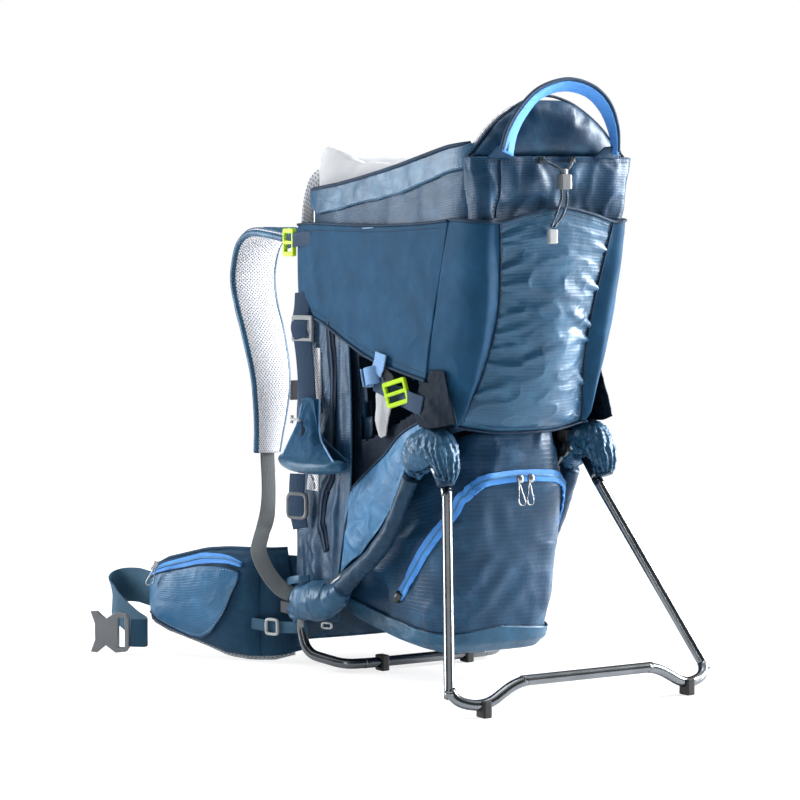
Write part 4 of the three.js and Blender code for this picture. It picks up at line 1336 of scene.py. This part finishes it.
leg_left = Grid(patch(leg_rows, 90, 70), both(
    faded(crumple(1.6, 50, 17.0, (1, 1.4, 0.4)), 0.05),
    folds([((-118, 146, 400), (-118, 140, 260), 8, 3.0)])), outward=(-1, 0, 0))
wrap_rows = [
    [(-126, 152, 238), (-124, 118, 262), (-122, 82, 285), (-121, 44, 314), (-119, -9, 336)],
    [(-128, 160, 226), (-129, 118, 242), (-128, 80, 264), (-126, 50, 286), (-122, 6, 312)],
    [(-128, 168, 205), (-130, 130, 216), (-131, 98, 234), (-129, 68, 254), (-123, 33, 273)],
    [(-128, 169, 180), (-130, 140, 192), (-131, 116, 205), (-129, 86, 224), (-124, 54, 234)],
    [(-128, 172, 155), (-129, 152, 167), (-129, 134, 178), (-128, 112, 190), (-124, 84, 201)],
    [(-127, 180, 128), (-127, 170, 136), (-127, 160, 143), (-126, 148, 150), (-125, 134, 157)],
]
wrap_left = Grid(patch(wrap_rows, 60, 80), both(
    faded(crumple(2.6, 36, 83.0, (1, 1, 1)), 0.05),
    folds([((-128, 150, 214), (-128, 100, 246), 7, 2.6), ((-128, 160, 190), (-128, 120, 204), 7, -2.6),
           ((-128, 160, 176), (-128, 130, 162), 6, 2.8)])), outward=(-1, 0, 0))
cap_rows = [
    [(-119, 0, 392), (-118, -20, 396), (-116, -42, 396)],
    [(-121, 8, 366), (-121, -22, 370), (-117, -54, 366)],
    [(-124, 9, 340), (-125, -26, 346), (-116, -64, 346)],
    [(-124, 0, 326), (-127, -30, 326), (-116, -68, 334)],
]
cap_left = Grid(patch(cap_rows, 36, 40), both(
    crumple(1.6, 26, 87.0), folds([((-125, 4, 372), (-126, -50, 336), 6, 2.6),
                                   ((-127, 6, 350), (-126, -30, 326), 5, 3.0)])),
    outward=(-1, -0.3, 0))


for side, word in SIDES:
    grid = grid_on_side(side, side_left)

    s = partial(on_side, side)

    of = partial(grid_on_side, side)
    cloth(grid, f"side_panel_{word}", "ripstop", "pack", thick=1.6)
    # The leg surround's near-black cloth is painted shade for the recess of the leg opening.
    cloth(of(leg_left), f"leg_surround_{word}", "dark", "pack", thick=1.6, skip=deep_leg_hole)
    # The side wrap's pale blue is partly painted light: paler than the bag cloth where the face is lit
    # strongly.
    cloth(of(wrap_left), f"bag_side_wrap_{word}", "pale_fabric_and_painted_light", "pack", thick=1.6)
    cloth(of(cap_left), f"hinge_flap_{word}", "dark", "pack", thick=1.6)
    pipe(f"wrap_top_binding_{word}", s([(-126.5, 152, 239), (-124.5, 118, 263), (-122.5, 82, 286),
                                        (-121.5, 44, 315), (-119.5, -9, 337)]), 1.5, "piping",
         "pack", n=60, sides=10)
    zip_line = s([(-129, 202, 447), (-129, 194, 381), (-129, 194, 301), (-130, 197, 255),
                  (-130, 210, 233), (-131, 219, 205), (-131, 215, 179), (-131, 207, 154)])
    strap_on(grid, f"side_zip_tape_{word}", zip_line, 17, 1.4, "dark", "pack", lift=1.2, n=70)
    strap_on(grid, f"side_zip_coil_{word}", zip_line, 3.4, 2.2, "navy_web", "pack", lift=2.2, n=70)
    pipe(f"side_panel_edge_{word}", s([(-126.5, 161, 442), (-126.5, 154, 340), (-126.5, 156, 236),
                                       (-128.5, 168, 182), (-128, 182, 126)]), 1.5, "panel",
         "pack", n=90, sides=10)
    stitches(f"side_stitching_{word}", grid, [s([(-128, 181, 436), (-127, 176, 300),
                                                 (-128, 184, 200)])], "pack",
             material="dark_thread")
    for tag, y0, y1, z0, z1 in (("upper", 222, 236, 329, 412), ("lower", 226, 279, 229, 256)):
        mesh_grid = Grid(patch([[(-131, y1, z0), (-131, (y0 + y1) / 2, z0), (-131, y0, z0)],
                                [(-131, y1, z1), (-131, (y0 + y1) / 2, z1), (-131, y0, z1)]],
                               10, 20), crumple(0.5, 30, 3.0), outward=(-1, 0, 0))
        cloth(of(mesh_grid), f"side_mesh_{tag}_{word}", "spacer", "pack", thick=2.4)
    # Frame sleeve, and the pouch that wraps the frame at the hip.
    sleeve = pipe(f"frame_sleeve_{word}", s([
        (-143, 210, 82), (-140, 172, 102), (-136, 136, 129), (-131, 97, 158), (-126, 70, 186),
        (-124, 52, 212), (-123, 38, 238), (-121, 24, 262)]),
        [14, 13, 12, 11.5, 11.5, 11, 10.5, 10.5], "sleeve", "pack", n=130, sides=36)
    push_out(sleeve, both(crumple(1.6, 26, 23.0 + side, (1, 1, 1)), crumple(0.6, 9, 29.0)))
    wrap = pipe(f"hip_wrap_{word}", s([
        (-144, 262, 66), (-144, 250, 78), (-143, 230, 88), (-143, 206, 92), (-142, 182, 97),
        (-141, 164, 103), (-140, 152, 112)]), [9, 19, 25, 26.5, 24, 18, 12], "panel", "pack",
        n=80, sides=48)
    push_out(wrap, both(crumple(4.2, 30, 91.0 + side), gathers((side * 143, 258, 70), (0, 1, 0.2),
                                                             9, 2.6, 30)))
    ribbon(f"hip_tab_{word}", s([(-150, 272, 108), (-158, 250, 114), (-160, 228, 118),
                                 (-150, 216, 119)]), (0, 0, 1), 10, 1.8, "base", "pack", n=24)
    ladder_lock(f"hip_wrap_hook_{word}", s([(-149, 176, 64)])[0], 16, 9, 2.6, side * -0.5,
                "light_plastic", "pack", bars=0)
    # Hinge boot: a gathered cover that crosses the kickstand hinge.
    boot = pipe(f"hinge_boot_{word}", s([
        (-117, 26, 266), (-116, 12, 288), (-115, -8, 301), (-115, -28, 303), (-116, -42, 292),
        (-117, -49, 279), (-118, -48, 267)]),
        [10, 20, 25, 24.5, 21, 16, 12], "panel", None, n=110, sides=72)
    push_out(boot, both(crumple(3.0, 15, 31.0 + side),
                        gathers((side * 118, -50, 264), (0, -0.3, -0.95), 13, 3.4, 36),
                        crumple(1.6, 7, 41.0)))
    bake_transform(boot)
    cuff = pipe(f"boot_cuff_{word}", s([(-117.5, -46, 270), (-118, -50, 259)]), [12.5, 11], "piping",
                "kickstand", n=8, sides=28)
    # Side entry: a rolled webbing end, the lock's strap and the soft flap behind it.
    roll_axis = Vector((0, 0.30, 0.95)).normalized()
    roll_across = Vector((0, 0.95, -0.30))
    roll_out = Vector((side, 0, 0))
    spiral = [Vector(s([(-133, 93, 383)])[0])
              + roll_across * (math.cos(a * 0.55) * (4.5 + 0.62 * a * 0.55))
              + roll_out * (math.sin(a * 0.55) * (4.5 + 0.62 * a * 0.55)) for a in range(26)]
    ribbon(f"side_entry_roll_{word}", spiral, tuple(roll_axis), 22, 1.8, "pale_web", "pack", n=70)
    ribbon(f"side_entry_tab_{word}", s([(-131, 76, 412), (-132, 78, 400), (-133, 84, 388)]),
           (0, 0.95, 0.2), 24, 2.0, "pale_web", "pack", n=16)
    ribbon(f"side_entry_strap_{word}", s([
        (-130, 92, 376), (-130, 72, 371), (-135.5, 60, 368), (-137.5, 52, 366), (-135.5, 44, 364),
        (-130.5, 34, 362), (-129.5, 8, 356), (-126, -10, 352)]), (0, 0.3, 0.95), 23, 2.0,
           "navy_web", "pack", n=50)
    flap = Grid(patch([[(-116, 104, 392), (-117, 88, 392), (-116, 74, 384)],
                       [(-119, 108, 352), (-124, 92, 354), (-119, 72, 350)],
                       [(-118, 108, 322), (-123, 96, 326), (-118, 80, 330)],
                       [(-117, 104, 308), (-118, 96, 306), (-117, 88, 309)]], 24, 40),
                both(crumple(2.4, 24, 95.0), folds([((-120, 92, 384), (-120, 94, 320), 5, 3.0)])),
                outward=(-1, 0, 0))
    cloth(of(flap), f"side_entry_flap_{word}", "plush", "pack", thick=2.0)

zip_puller("zip_left", (-10, -50, 261), (-6, -53, 229), (1, 0, 0), "zip_left", "zip_slider_left")
zip_puller("zip_right", (6, -50, 261), (6, -53, 229), (1, 0, 0), "zip_right", "zip_slider_right")
zip_puller("hip_pocket_zip", (-246, 452, 119), (-251, 463, 90), (0.85, -0.5, 0), "hip_zip",
           "hip_zip_slider")
seat = pillow("seat_cushion", (0, 58, 392), (1, 0, 0), (0, 1, 0), 140, 150, 28, "plush", "seat",
              power=3.4)
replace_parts(seat, "child_seat")
back_rest = ribbon("seat_back_cushion", [(0, -22, 412), (0, -40, 470), (0, -58, 560), (0, -62, 600)],
                   (1, 0, 0), 148, 18, "plush", "pack", n=40, crown=0.12)
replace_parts(back_rest, "seat_back_pad")
for side, word in SIDES:
    line = [(side * 42, -40, 577), (side * 42, -21, 500), (side * 37, 1, 445), (side * 24, 24, 416)]
    pad = ribbon(f"harness_pad_{word}", line, (1, 0, 0), 31, 8, "plush", "pack", n=40, crown=0.2)
    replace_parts(pad, f"harness_strap_{word}")
    ribbon(f"harness_webbing_{word}", [(x, y + 4.8, z + 1.6) for x, y, z in line], (1, 0, 0), 19,
           1.8, "navy_web", "pack", n=40)

# Chin rest: a soft pale wall round the front and sides of the child.
chin_line = rounded([(-100, -50, 612), (-103, 262, 612, 40), (103, 262, 612, 40), (100, -50, 612)], 14)
chin_line = resample(chin_line, 110)
chin_rows = []
for k, at in enumerate(chin_line):
    along = (chin_line[min(k + 1, 110)] - chin_line[max(k - 1, 0)]).normalized()
    out = along.cross(Vector((0, 0, 1)))
    front = max(0.0, min(1.0, (at.y - 150) / 90))
    front = front * front * (3 - 2 * front)
    corner = math.exp(-((abs(at.x) - 92) / 22) ** 2) * front
    top = 646 + 10 * front + 13 * corner
    row = []
    for i in range(32):
        a = 2 * math.pi * i / 32
        row.append(at + out * (Ring.corner(math.cos(a), 3.0) * (13 + 3 * front))
                   + Vector((0, 0, 1)) * (Ring.corner(math.sin(a), 3.0) * (top - 568) / 2
                                          + (top + 568) / 2 - at.z))
    chin_rows.append(row)
chin = Grid(chin_rows, both(crumple(3.0, 46, 41.0), folds([
    ((-70, 246, 668), (-88, 232, 620), 7, -3.5), ((-40, 250, 664), (-50, 246, 610), 8, -2.5),
    ((-96, 200, 660), (-100, 190, 620), 8, -2.4)])), closed=True)
chin_pad = chin.build("chin_rest_pad", "plush", "chin_rest", caps=True)
fix_outside(chin_pad)
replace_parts(chin_pad, "chin_pad")

# ---- back, hips and shoulders ------------------------------------------------------------
back = pillow("back_panel_pad", (0, 293, 384), (-1, 0, 0), (0, 0, 1), 236, 524, 16, "spacer",
              "pack", power=7.0, dome=0.25, n=16, around=120)
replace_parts(back, "back_panel")
for side in (-1, 1):
    word = "left" if side < 0 else "right"
    channel = pillow(f"back_cushion_{word}", (side * 52, 301, 305), (-1, 0, 0), (0, 0, 1), 78, 240,
                     12, "back_mesh", "pack", power=4.0, dome=0.4)
cover = Grid(patch([[(-118, 286, 30), (0, 290, 28), (118, 286, 30)],
                    [(-118, 288, 90), (0, 292, 90), (118, 288, 90)],
                    [(-118, 290, 150), (0, 294, 150), (118, 290, 150)]], 50, 24),
             crumple(1.6, 40, 57.0), outward=(0, -1, 0))
cloth(cover, "lower_back_cover", "sleeve", "pack", thick=1.6)
lumbar = pillow("lumbar_cushion", (0, 310, 88), (-1, 0, 0), (0, 0, 1), 218, 116, 20, "back_mesh",
                "pack", power=4.5, dome=0.35)
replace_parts(lumbar, "lumbar_pad")
WING = [(-124, 298, 14, 148), (-147, 309, 8, 147), (-166, 336, 6, 146), (-181, 367, 8, 145),
        (-195, 402, 18, 141), (-208, 436, 26, 132), (-218, 466, 32, 124), (-224, 492, 40, 112)]
wing_mid = [(x, y, (a + b) / 2) for x, y, a, b in WING]
wing_low = [a for _, _, a, _ in WING]
wing_top = [b for _, _, _, b in WING]


def wing_at(s, z, out):
    """A point beside the hip wing: s runs from its root to its tip."""
    p = pick(wing_mid, s)
    q = pick(wing_mid, min(s + 0.04, 1.0)) - pick(wing_mid, max(s - 0.04, 0.0))
    normal = Vector((-q.y, q.x, 0)).normalized()
    return Vector((p.x, p.y, z)) + normal * out


def wing_z(s, t):
    """A height on the wing: t is 0 at its lower edge and 1 at its upper edge."""
    low, high = pick(wing_low, s), pick(wing_top, s)
    return low + (high - low) * t


def pocket_out(s, t):
    """How far the zipped pocket stands off the wing."""
    a = max(-1.0, min(1.0, (s - 0.61) / 0.40))
    b = max(-1.0, min(1.0, (t - 0.47) / 0.47))
    return 7.6 + 17 * (1 - abs(a) ** 3.0) ** 0.62 * (1 - abs(b) ** 2.8) ** 0.62


def pocket_point(s, t, lift=0.0):
    return wing_at(s, wing_z(s, t), pocket_out(s, t) + lift)


FACE_LOW = [0.72, 0.40, 0.18, 0.06, 0.03, 0.05, 0.08, 0.12, 0.19]
FACE_HIGH = [0.80, 0.84, 0.85, 0.85, 0.84, 0.83, 0.82, 0.80, 0.78]


def face_point(a, t, lift):
    """A point on the pocket's face: a runs from the root side to the tip, t from low to high."""
    s = 0.32 + 0.65 * a
    low, high = pick(FACE_LOW, a), pick(FACE_HIGH, a)
    t = low + (high - low) * t
    return pocket_point(s, t, lift)


gusset_grid = Grid([[pocket_point(0.21 + 0.79 * i / 60, 0.01 + 0.93 * j / 40)
                     for i in range(61)] for j in range(41)],
                   faded(crumple(1.4, 30, 51.0), 0.05), outward=(-1, 0, 0))
hip_pocket_grid = Grid([[face_point(i / 60, j / 40, 1.6) for i in range(61)] for j in range(41)],
                       faded(crumple(0.8, 30, 53.0), 0.05), outward=(-1, 0, 0))
for side, word in SIDES:
    s = partial(on_side, side)
    body = f"hip_belt_{word}"
    wing = ribbon(f"hip_wing_pad_{word}", s(wing_mid), (0, 0, 1), [b - a for a, b in zip(wing_low, wing_top)],
                  14, "belt", body, n=70, crown=0.14)
    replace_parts(wing, f"hip_wing_{word}")
    top_edge = [wing_at(k / 20, wing_z(k / 20, 1.0) + 0.5, 0) for k in range(1, 21)]
    low_edge = [wing_at(k / 20, wing_z(k / 20, 0.0) - 0.5, 0) for k in range(21)]
    pipe(f"hip_wing_binding_top_{word}", s(top_edge), 2.6, "belt", body, n=80, sides=12)
    pipe(f"hip_wing_binding_low_{word}", s(low_edge), 4.6, "back_mesh", body, n=80, sides=12)
    ribbon(f"hip_root_{word}", s([(-138, 303, 81), (-130, 296, 81), (-126, 286, 81),
                                  (-128, 270, 81)]), (0, 0, 1), 118, 2.4, "belt", "pack", n=20)
    stabiliser = ribbon(f"stabiliser_webbing_{word}", s([
        (-186, 362, 52), (-182, 345, 52), (-172, 316, 51), (-161, 288, 50), (-150, 262, 51),
        (-140, 240, 54)]), (0, 0, 1), 15, 1.8, "blue_web", None, n=50)
    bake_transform(stabiliser)
    ladder_lock(f"stabiliser_lock_{word}", s([(-164, 288, 50)])[0], 22, 23, 4, side * -0.4,
                "light_plastic", "pack", bars=0)
    web = ribbon(f"hip_webbing_loop_{word}", s([
        (-214, 440, 84), (-221, 470, 82), (-226, 502, 80), (-231, 534, 82), (-242, 558, 79),
        (-256, 556, 69), (-262, 532, 54), (-256, 496, 37), (-251, 472, 29), (-258, 459, 28),
        (-270, 462, 28.5), (-277, 466, 29)]), (0, 0, 1), [46, 47, 47, 47, 46, 45, 42, 38, 37, 37, 37],
                 2.2, "blue_web", body, n=140)
    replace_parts(web, f"hip_webbing_{word}")
pocket_gusset = cloth(gusset_grid, "hip_pocket_gusset", "belt", "hip_belt_left", thick=1.6)
cloth(hip_pocket_grid, "hip_pocket_face", "belt_pocket", "hip_belt_left", thick=1.6)
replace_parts(pocket_gusset, "hip_pocket")
zip_line = []
for k in range(21):
    s_at = 0.31 + 0.665 * k / 20
    t_at = pick(FACE_HIGH, k / 20) + 0.065
    zip_line.append(pocket_point(s_at, t_at, 1.8))
zip_up = (0.62, -0.3, 1.0)
ribbon("hip_zip_tape", zip_line, zip_up, [7.0, 13.0, 16.0, 15.0, 13.0, 8.0], 1.8, "band",
       "hip_belt_left", n=60)
ribbon("hip_zip_coil", [p + Vector((-1.0, -0.4, 1.0)) for p in zip_line], zip_up, 2.4, 1.8,
       "pale_fabric_and_painted_light", "hip_belt_left", n=60)
outline = [face_point(k / 30, 0.0, 2.2) for k in range(31)]
pipe("hip_pocket_seam_low", outline, 1.1, "piping", "hip_belt_left", n=90, sides=8)
pipe("hip_pocket_seam_top", [face_point(k / 20, 1.0, 2.2) for k in range(21)], 1.1, "piping",
     "hip_belt_left", n=60, sides=8)
stitches("hip_pocket_stitching", hip_pocket_grid,
         [[face_point(0.05 + 0.9 * k / 20, 0.05, 2.0) for k in range(21)],
          [face_point(0.05 + 0.9 * k / 20, 0.94, 2.0) for k in range(21)]], "hip_belt_left",
         lift=0.3, radius=0.32)

STRAP = [(-84, 312, 545), (-92, 360, 553), (-97, 405, 555), (-98, 434, 540), (-98, 448, 512),
         (-98, 450, 487), (-98, 440, 455), (-99, 423, 425), (-100, 401, 368), (-101, 399, 320),
         (-103, 405, 265)]
STRAP_W = [56, 60, 62, 62, 62, 61, 60, 60, 58, 58, 57, 55, 52, 48, 42, 36, 32]
for side, word in SIDES:
    s = partial(on_side, side)
    path = smooth_path(s(STRAP), 90)
    pad = ribbon(f"shoulder_pad_{word}", path, (1, 0, 0), STRAP_W, 11.5, "spacer",
                 "shoulder_harness", n=90, crown=0.14, smooth=False)
    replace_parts(pad, f"shoulder_strap_{word}")
    edge_a, edge_b, face = [], [], []
    for k, at in enumerate(path):
        along = (path[min(k + 1, 90)] - path[max(k - 1, 0)]).normalized()
        up = along.cross(Vector((1, 0, 0))).normalized()
        if up.y + up.z < 0:
            up = -up
        w = pick(STRAP_W, k / 90) / 2
        edge_a.append(at + Vector((w, 0, 0)))
        edge_b.append(at - Vector((w, 0, 0)))
        face.append(at + up * 6.6)
    for tag, line in (("outer", edge_a), ("inner", edge_b)):
        pipe(f"strap_binding_{tag}_{word}", line, 4.4, "panel", "shoulder_harness", n=90, sides=12,
             smooth=False)
    ribbon(f"strap_cover_{word}", face, (1, 0, 0), [w - 4 for w in STRAP_W], 1.8, "panel",
           "shoulder_harness", n=90, smooth=False)
    ribbon(f"strap_rail_{word}", [p + Vector((0, 1.6, 1.0)) for p in face[20:86]], (1, 0, 0), 20,
           1.6, "navy_web", "shoulder_harness", n=66, smooth=False)
    lower = ribbon(f"adjuster_webbing_{word}", s([
        (-103, 405, 266), (-105, 398, 218), (-116, 382, 188), (-136, 356, 172), (-158, 326, 163),
        (-173, 306, 146), (-170, 290, 122), (-160, 274, 102), (-150, 260, 94)]),
        [(1, 0, 0), (1, 0, 0), (0.95, side * 0.2, 0.1), (0.8, side * 0.45, side * -0.35),
         (0.8, side * 0.45, side * -0.45)], 21, 2.0, "grey_web", None, n=80)
    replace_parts(lower, f"strap_webbing_{word}")
    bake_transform(lower)
    lifter = ribbon(f"load_lifter_webbing_{word}", s([(-100, 348, 556), (-118, 318, 550),
                                                      (-132, 296, 546)]), (0, 0.3, 1), 16, 1.8,
                    "pale_web", None, n=30)
    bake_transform(lifter)
    ribbon(f"load_lifter_anchor_{word}", s([(-134.5, 296, 546), (-135, 280, 548), (-133, 262, 550),
                                            (-132, 240, 551)]), (0, 0, 1), 18, 1.8, "navy_web",
           "pack", n=30)
    # Stirrup: webbing through a ladder lock down to a padded foot cradle.
    body = f"stirrup_{word}"
    facing = (side * 0.479, 0.878, 0)
    ribbon(f"stirrup_hanger_{word}", s([(-132, 262, 482), (-137, 256, 462), (-144, 250, 446),
                                        (-146, 249, 436), (-143, 247, 424)]), facing, 23, 2.2,
           "navy_web", "pack", n=40)
    ribbon(f"stirrup_webbing_{word}", s([
        (-142, 247, 424), (-142, 242, 404), (-142, 238, 380), (-143, 234, 356), (-144, 228, 336)]),
        facing, 25, 2.4, "navy_web", body, n=40)
    boat = []
    for j in range(25):
        t = 2 * j / 24 - 1
        y = 194 + 72 * t
        half = 23 * max(1 - abs(t) ** 2.6, 0.02) ** 0.5
        keel = 256 + (11 if t > 0 else 8) * abs(t) ** 2.2
        deck = 276
        row = []
        for i in range(28):
            a = 2 * math.pi * i / 28
            row.append(Vector((-160 + Ring.corner(math.cos(a), 2.6) * half, y,
                               (keel + deck) / 2 + Ring.corner(math.sin(a), 2.6)
                               * (deck - keel) / 2)))
        boat.append(row)
    boat = grid_on_side(side, Grid(boat, crumple(1.4, 24, 61.0), closed=True))
    base = boat.build(f"foot_cradle_{word}", "base", body, caps=True)
    fix_outside(base)
    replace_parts(base, f"foot_stirrup_{word}")
    wall_rows = [
        [(-174, 246, 272), (-177, 205, 270), (-175, 168, 270), (-166, 130, 274)],
        [(-168, 238, 292), (-171, 208, 290), (-168, 182, 290), (-160, 156, 286)],
        [(-156, 235, 318), (-158, 218, 318), (-155, 204, 314), (-150, 190, 304)],
        [(-146, 238, 348), (-148, 226, 350), (-146, 214, 350), (-142, 204, 348)]]
    wall = Grid(patch(wall_rows, 40, 50), both(
        crumple(2.4, 18, 71.0), folds([((-150, 222, 340), (-172, 232, 280), 5, 3.0),
                                       ((-150, 214, 330), (-170, 176, 282), 5, 2.8)])),
                outward=(-1, 0, 0))
    cloth(grid_on_side(side, wall), f"stirrup_wall_{word}", "stretch", body,
          thick=1.4)
    inner = Grid([[Vector((-148 - 0.35 * (p.x + 148), p.y, p.z)) for p in row]
                  for row in patch(wall_rows, 30, 30)], crumple(1.6, 18, 73.0), outward=(1, 0, 0))
    cloth(grid_on_side(side, inner), f"stirrup_inner_wall_{word}", "stretch", body,
          thick=1.4)
    for tag, column in (("rear", 0), ("front", -1)):
        pipe(f"stirrup_binding_{tag}_{word}", s([row[column] for row in wall_rows]), 1.3, "pale_web",
             body, n=40, sides=8)
    ribbon(f"stirrup_elastic_{word}", s([(-151, 222, 330), (-158, 212, 312), (-166, 200, 288)]),
           facing, 12, 1.6, "dark", body, n=24)
    pipe(f"stirrup_hook_{word}", s([(-164, 236, 322), (-166, 214, 322)]), [2.4, 1.8, 2.0],
         "light_plastic", body, n=10, sides=12)
    pipe(f"stirrup_hook_bar_{word}", s([(-164, 236, 327), (-164.5, 236, 317)]), 2.2,
         "light_plastic", body, n=6, sides=12)
    ladder_lock(f"side_lock_{word}", s([(-146, 254, 209)])[0], 32, 36, 5, side * -0.5,
                "grey_plastic", body, bars=1)
    ribbon(f"side_lock_webbing_{word}", s([(-144, 256, 250), (-147, 254, 222), (-148, 253, 208),
                                           (-146, 252, 196), (-143, 250, 180)]), facing, 23, 2.2,
           "navy_web", body, n=40)
ribbon("chest_webbing", [(-66, 404, 346), (-30, 404, 346), (30, 404, 346), (66, 404, 346)],
       (0, 0, 1), 19, 3.0, "navy_web", "chest_strap", n=40)

# ---- carried CAD pieces: materials only -------------------------------------
finishes = {
    "dark_plastic": ["hinge_bracket_left", "hinge_bracket_right", "frame_clamp_left",
                     "frame_clamp_right", "shoulder_yoke", "chest_strap_plug",
                     "chest_strap_socket"],
    "grey_plastic": ["harness_buckle", "hip_buckle_plug", "hip_buckle_socket", "cord_lock"],
    "light_plastic": ["cord_tab", "stirrup_buckle_left", "stirrup_buckle_right",
                      "cord_lock_button"],
    "lime": ["harness_buckle_button", "load_lifter_buckle_left", "load_lifter_buckle_right",
             "side_entry_buckle_left", "side_entry_buckle_right"],
    "rubber": ["kickstand_foot_left", "kickstand_foot_right", "base_foot_left",
               "base_foot_right"],
    "steel": ["hinge_pin_left", "hinge_pin_right"],
}
for material, names in finishes.items():
    for name in names:
        for slot in nodes[name].material_slots:
            slot.link = "OBJECT"
            slot.material = MAT[material]

# ---- floor and light ---------------------------------------------------------------------
FLOOR_HALF = 2.4
FLOOR_Z = -0.0005


def stage_plane():
    """The pale floor, whitened for camera rays only."""
    data = bpy.data.meshes.new("floor")
    corners = ((-1, -1), (1, -1), (1, 1), (-1, 1))
    data.from_pydata([(x * FLOOR_HALF, y * FLOOR_HALF, FLOOR_Z) for x, y in corners], [],
                     [(0, 1, 2, 3)])
    s = Shader("floor")
    obj_coords, _ = s.coords("Object")
    s.colour(s.ramp(s.noise(obj_coords, 0.6), [(0.0, (0.86, 0.865, 0.87, 1)),
                                               (1.0, (0.9, 0.903, 0.907, 1))]))
    s.bsdf.inputs["Roughness"].default_value = 0.8
    seen = s.node("ShaderNodeLightPath")
    white = s.node("ShaderNodeEmission")
    white.inputs["Color"].default_value = (1, 1, 1, 1)
    white.inputs["Strength"].default_value = 1.25
    share = s.node("ShaderNodeMixShader")
    s.put(share.inputs[0], s.math("MULTIPLY", seen.outputs["Is Camera Ray"], 0.6))
    s.put(share.inputs[1], s.bsdf.outputs[0])
    s.put(share.inputs[2], white.outputs[0])
    s.put(s.tree.nodes["Material Output"].inputs["Surface"], share.outputs[0])
    data.materials.append(s.material)
    obj = bpy.data.objects.new("floor", data)
    bpy.context.scene.collection.objects.link(obj)


stage_plane()
world = bpy.data.worlds.new("studio")
bpy.context.scene.world = world
world.use_nodes = True
sky = world.node_tree
glow = sky.nodes["Background"]
glow.inputs["Color"].default_value = (0.94, 0.97, 1.0, 1)
glow.inputs["Strength"].default_value = 0.12
backdrop = sky.nodes.new("ShaderNodeBackground")
backdrop.inputs["Color"].default_value = (1, 1, 1, 1)
backdrop.inputs["Strength"].default_value = 1.0
eye = sky.nodes.new("ShaderNodeLightPath")
choose = sky.nodes.new("ShaderNodeMixShader")
sky.links.new(eye.outputs["Is Camera Ray"], choose.inputs[0])
sky.links.new(glow.outputs[0], choose.inputs[1])
sky.links.new(backdrop.outputs[0], choose.inputs[2])
sky.links.new(choose.outputs[0], sky.nodes["World Output"].inputs["Surface"])


def softbox(name, location, target, size, power):
    data = bpy.data.lights.new(name, "AREA")
    data.shape = "RECTANGLE"
    data.size, data.size_y = size
    data.energy = power
    obj = bpy.data.objects.new(name, data)
    bpy.context.scene.collection.objects.link(obj)
    obj.location = location
    aim = Vector(target) - Vector(location)
    obj.rotation_euler = aim.to_track_quat("-Z", "Y").to_euler()


softbox("left", (-2.3, 2.0, 1.1), (0, 0, 0.35), (1.0, 2.2), 125)
softbox("right", (2.8, -1.0, 1.2), (0, 0, 0.35), (0.9, 2.2), 360)
softbox("strip", (-2.0, -2.3, 1.1), (0, 0, 0.35), (0.12, 2.0), 11)
softbox("top", (0.0, -0.2, 2.7), (0, 0, 0.3), (1.2, 1.2), 22)
sun = bpy.data.lights.new("overhead", "SUN")
sun.energy = 1.5
sun.angle = math.radians(80)
bpy.context.scene.collection.objects.link(bpy.data.objects.new("overhead", sun))
bpy.context.scene.view_settings.view_transform = "Standard"
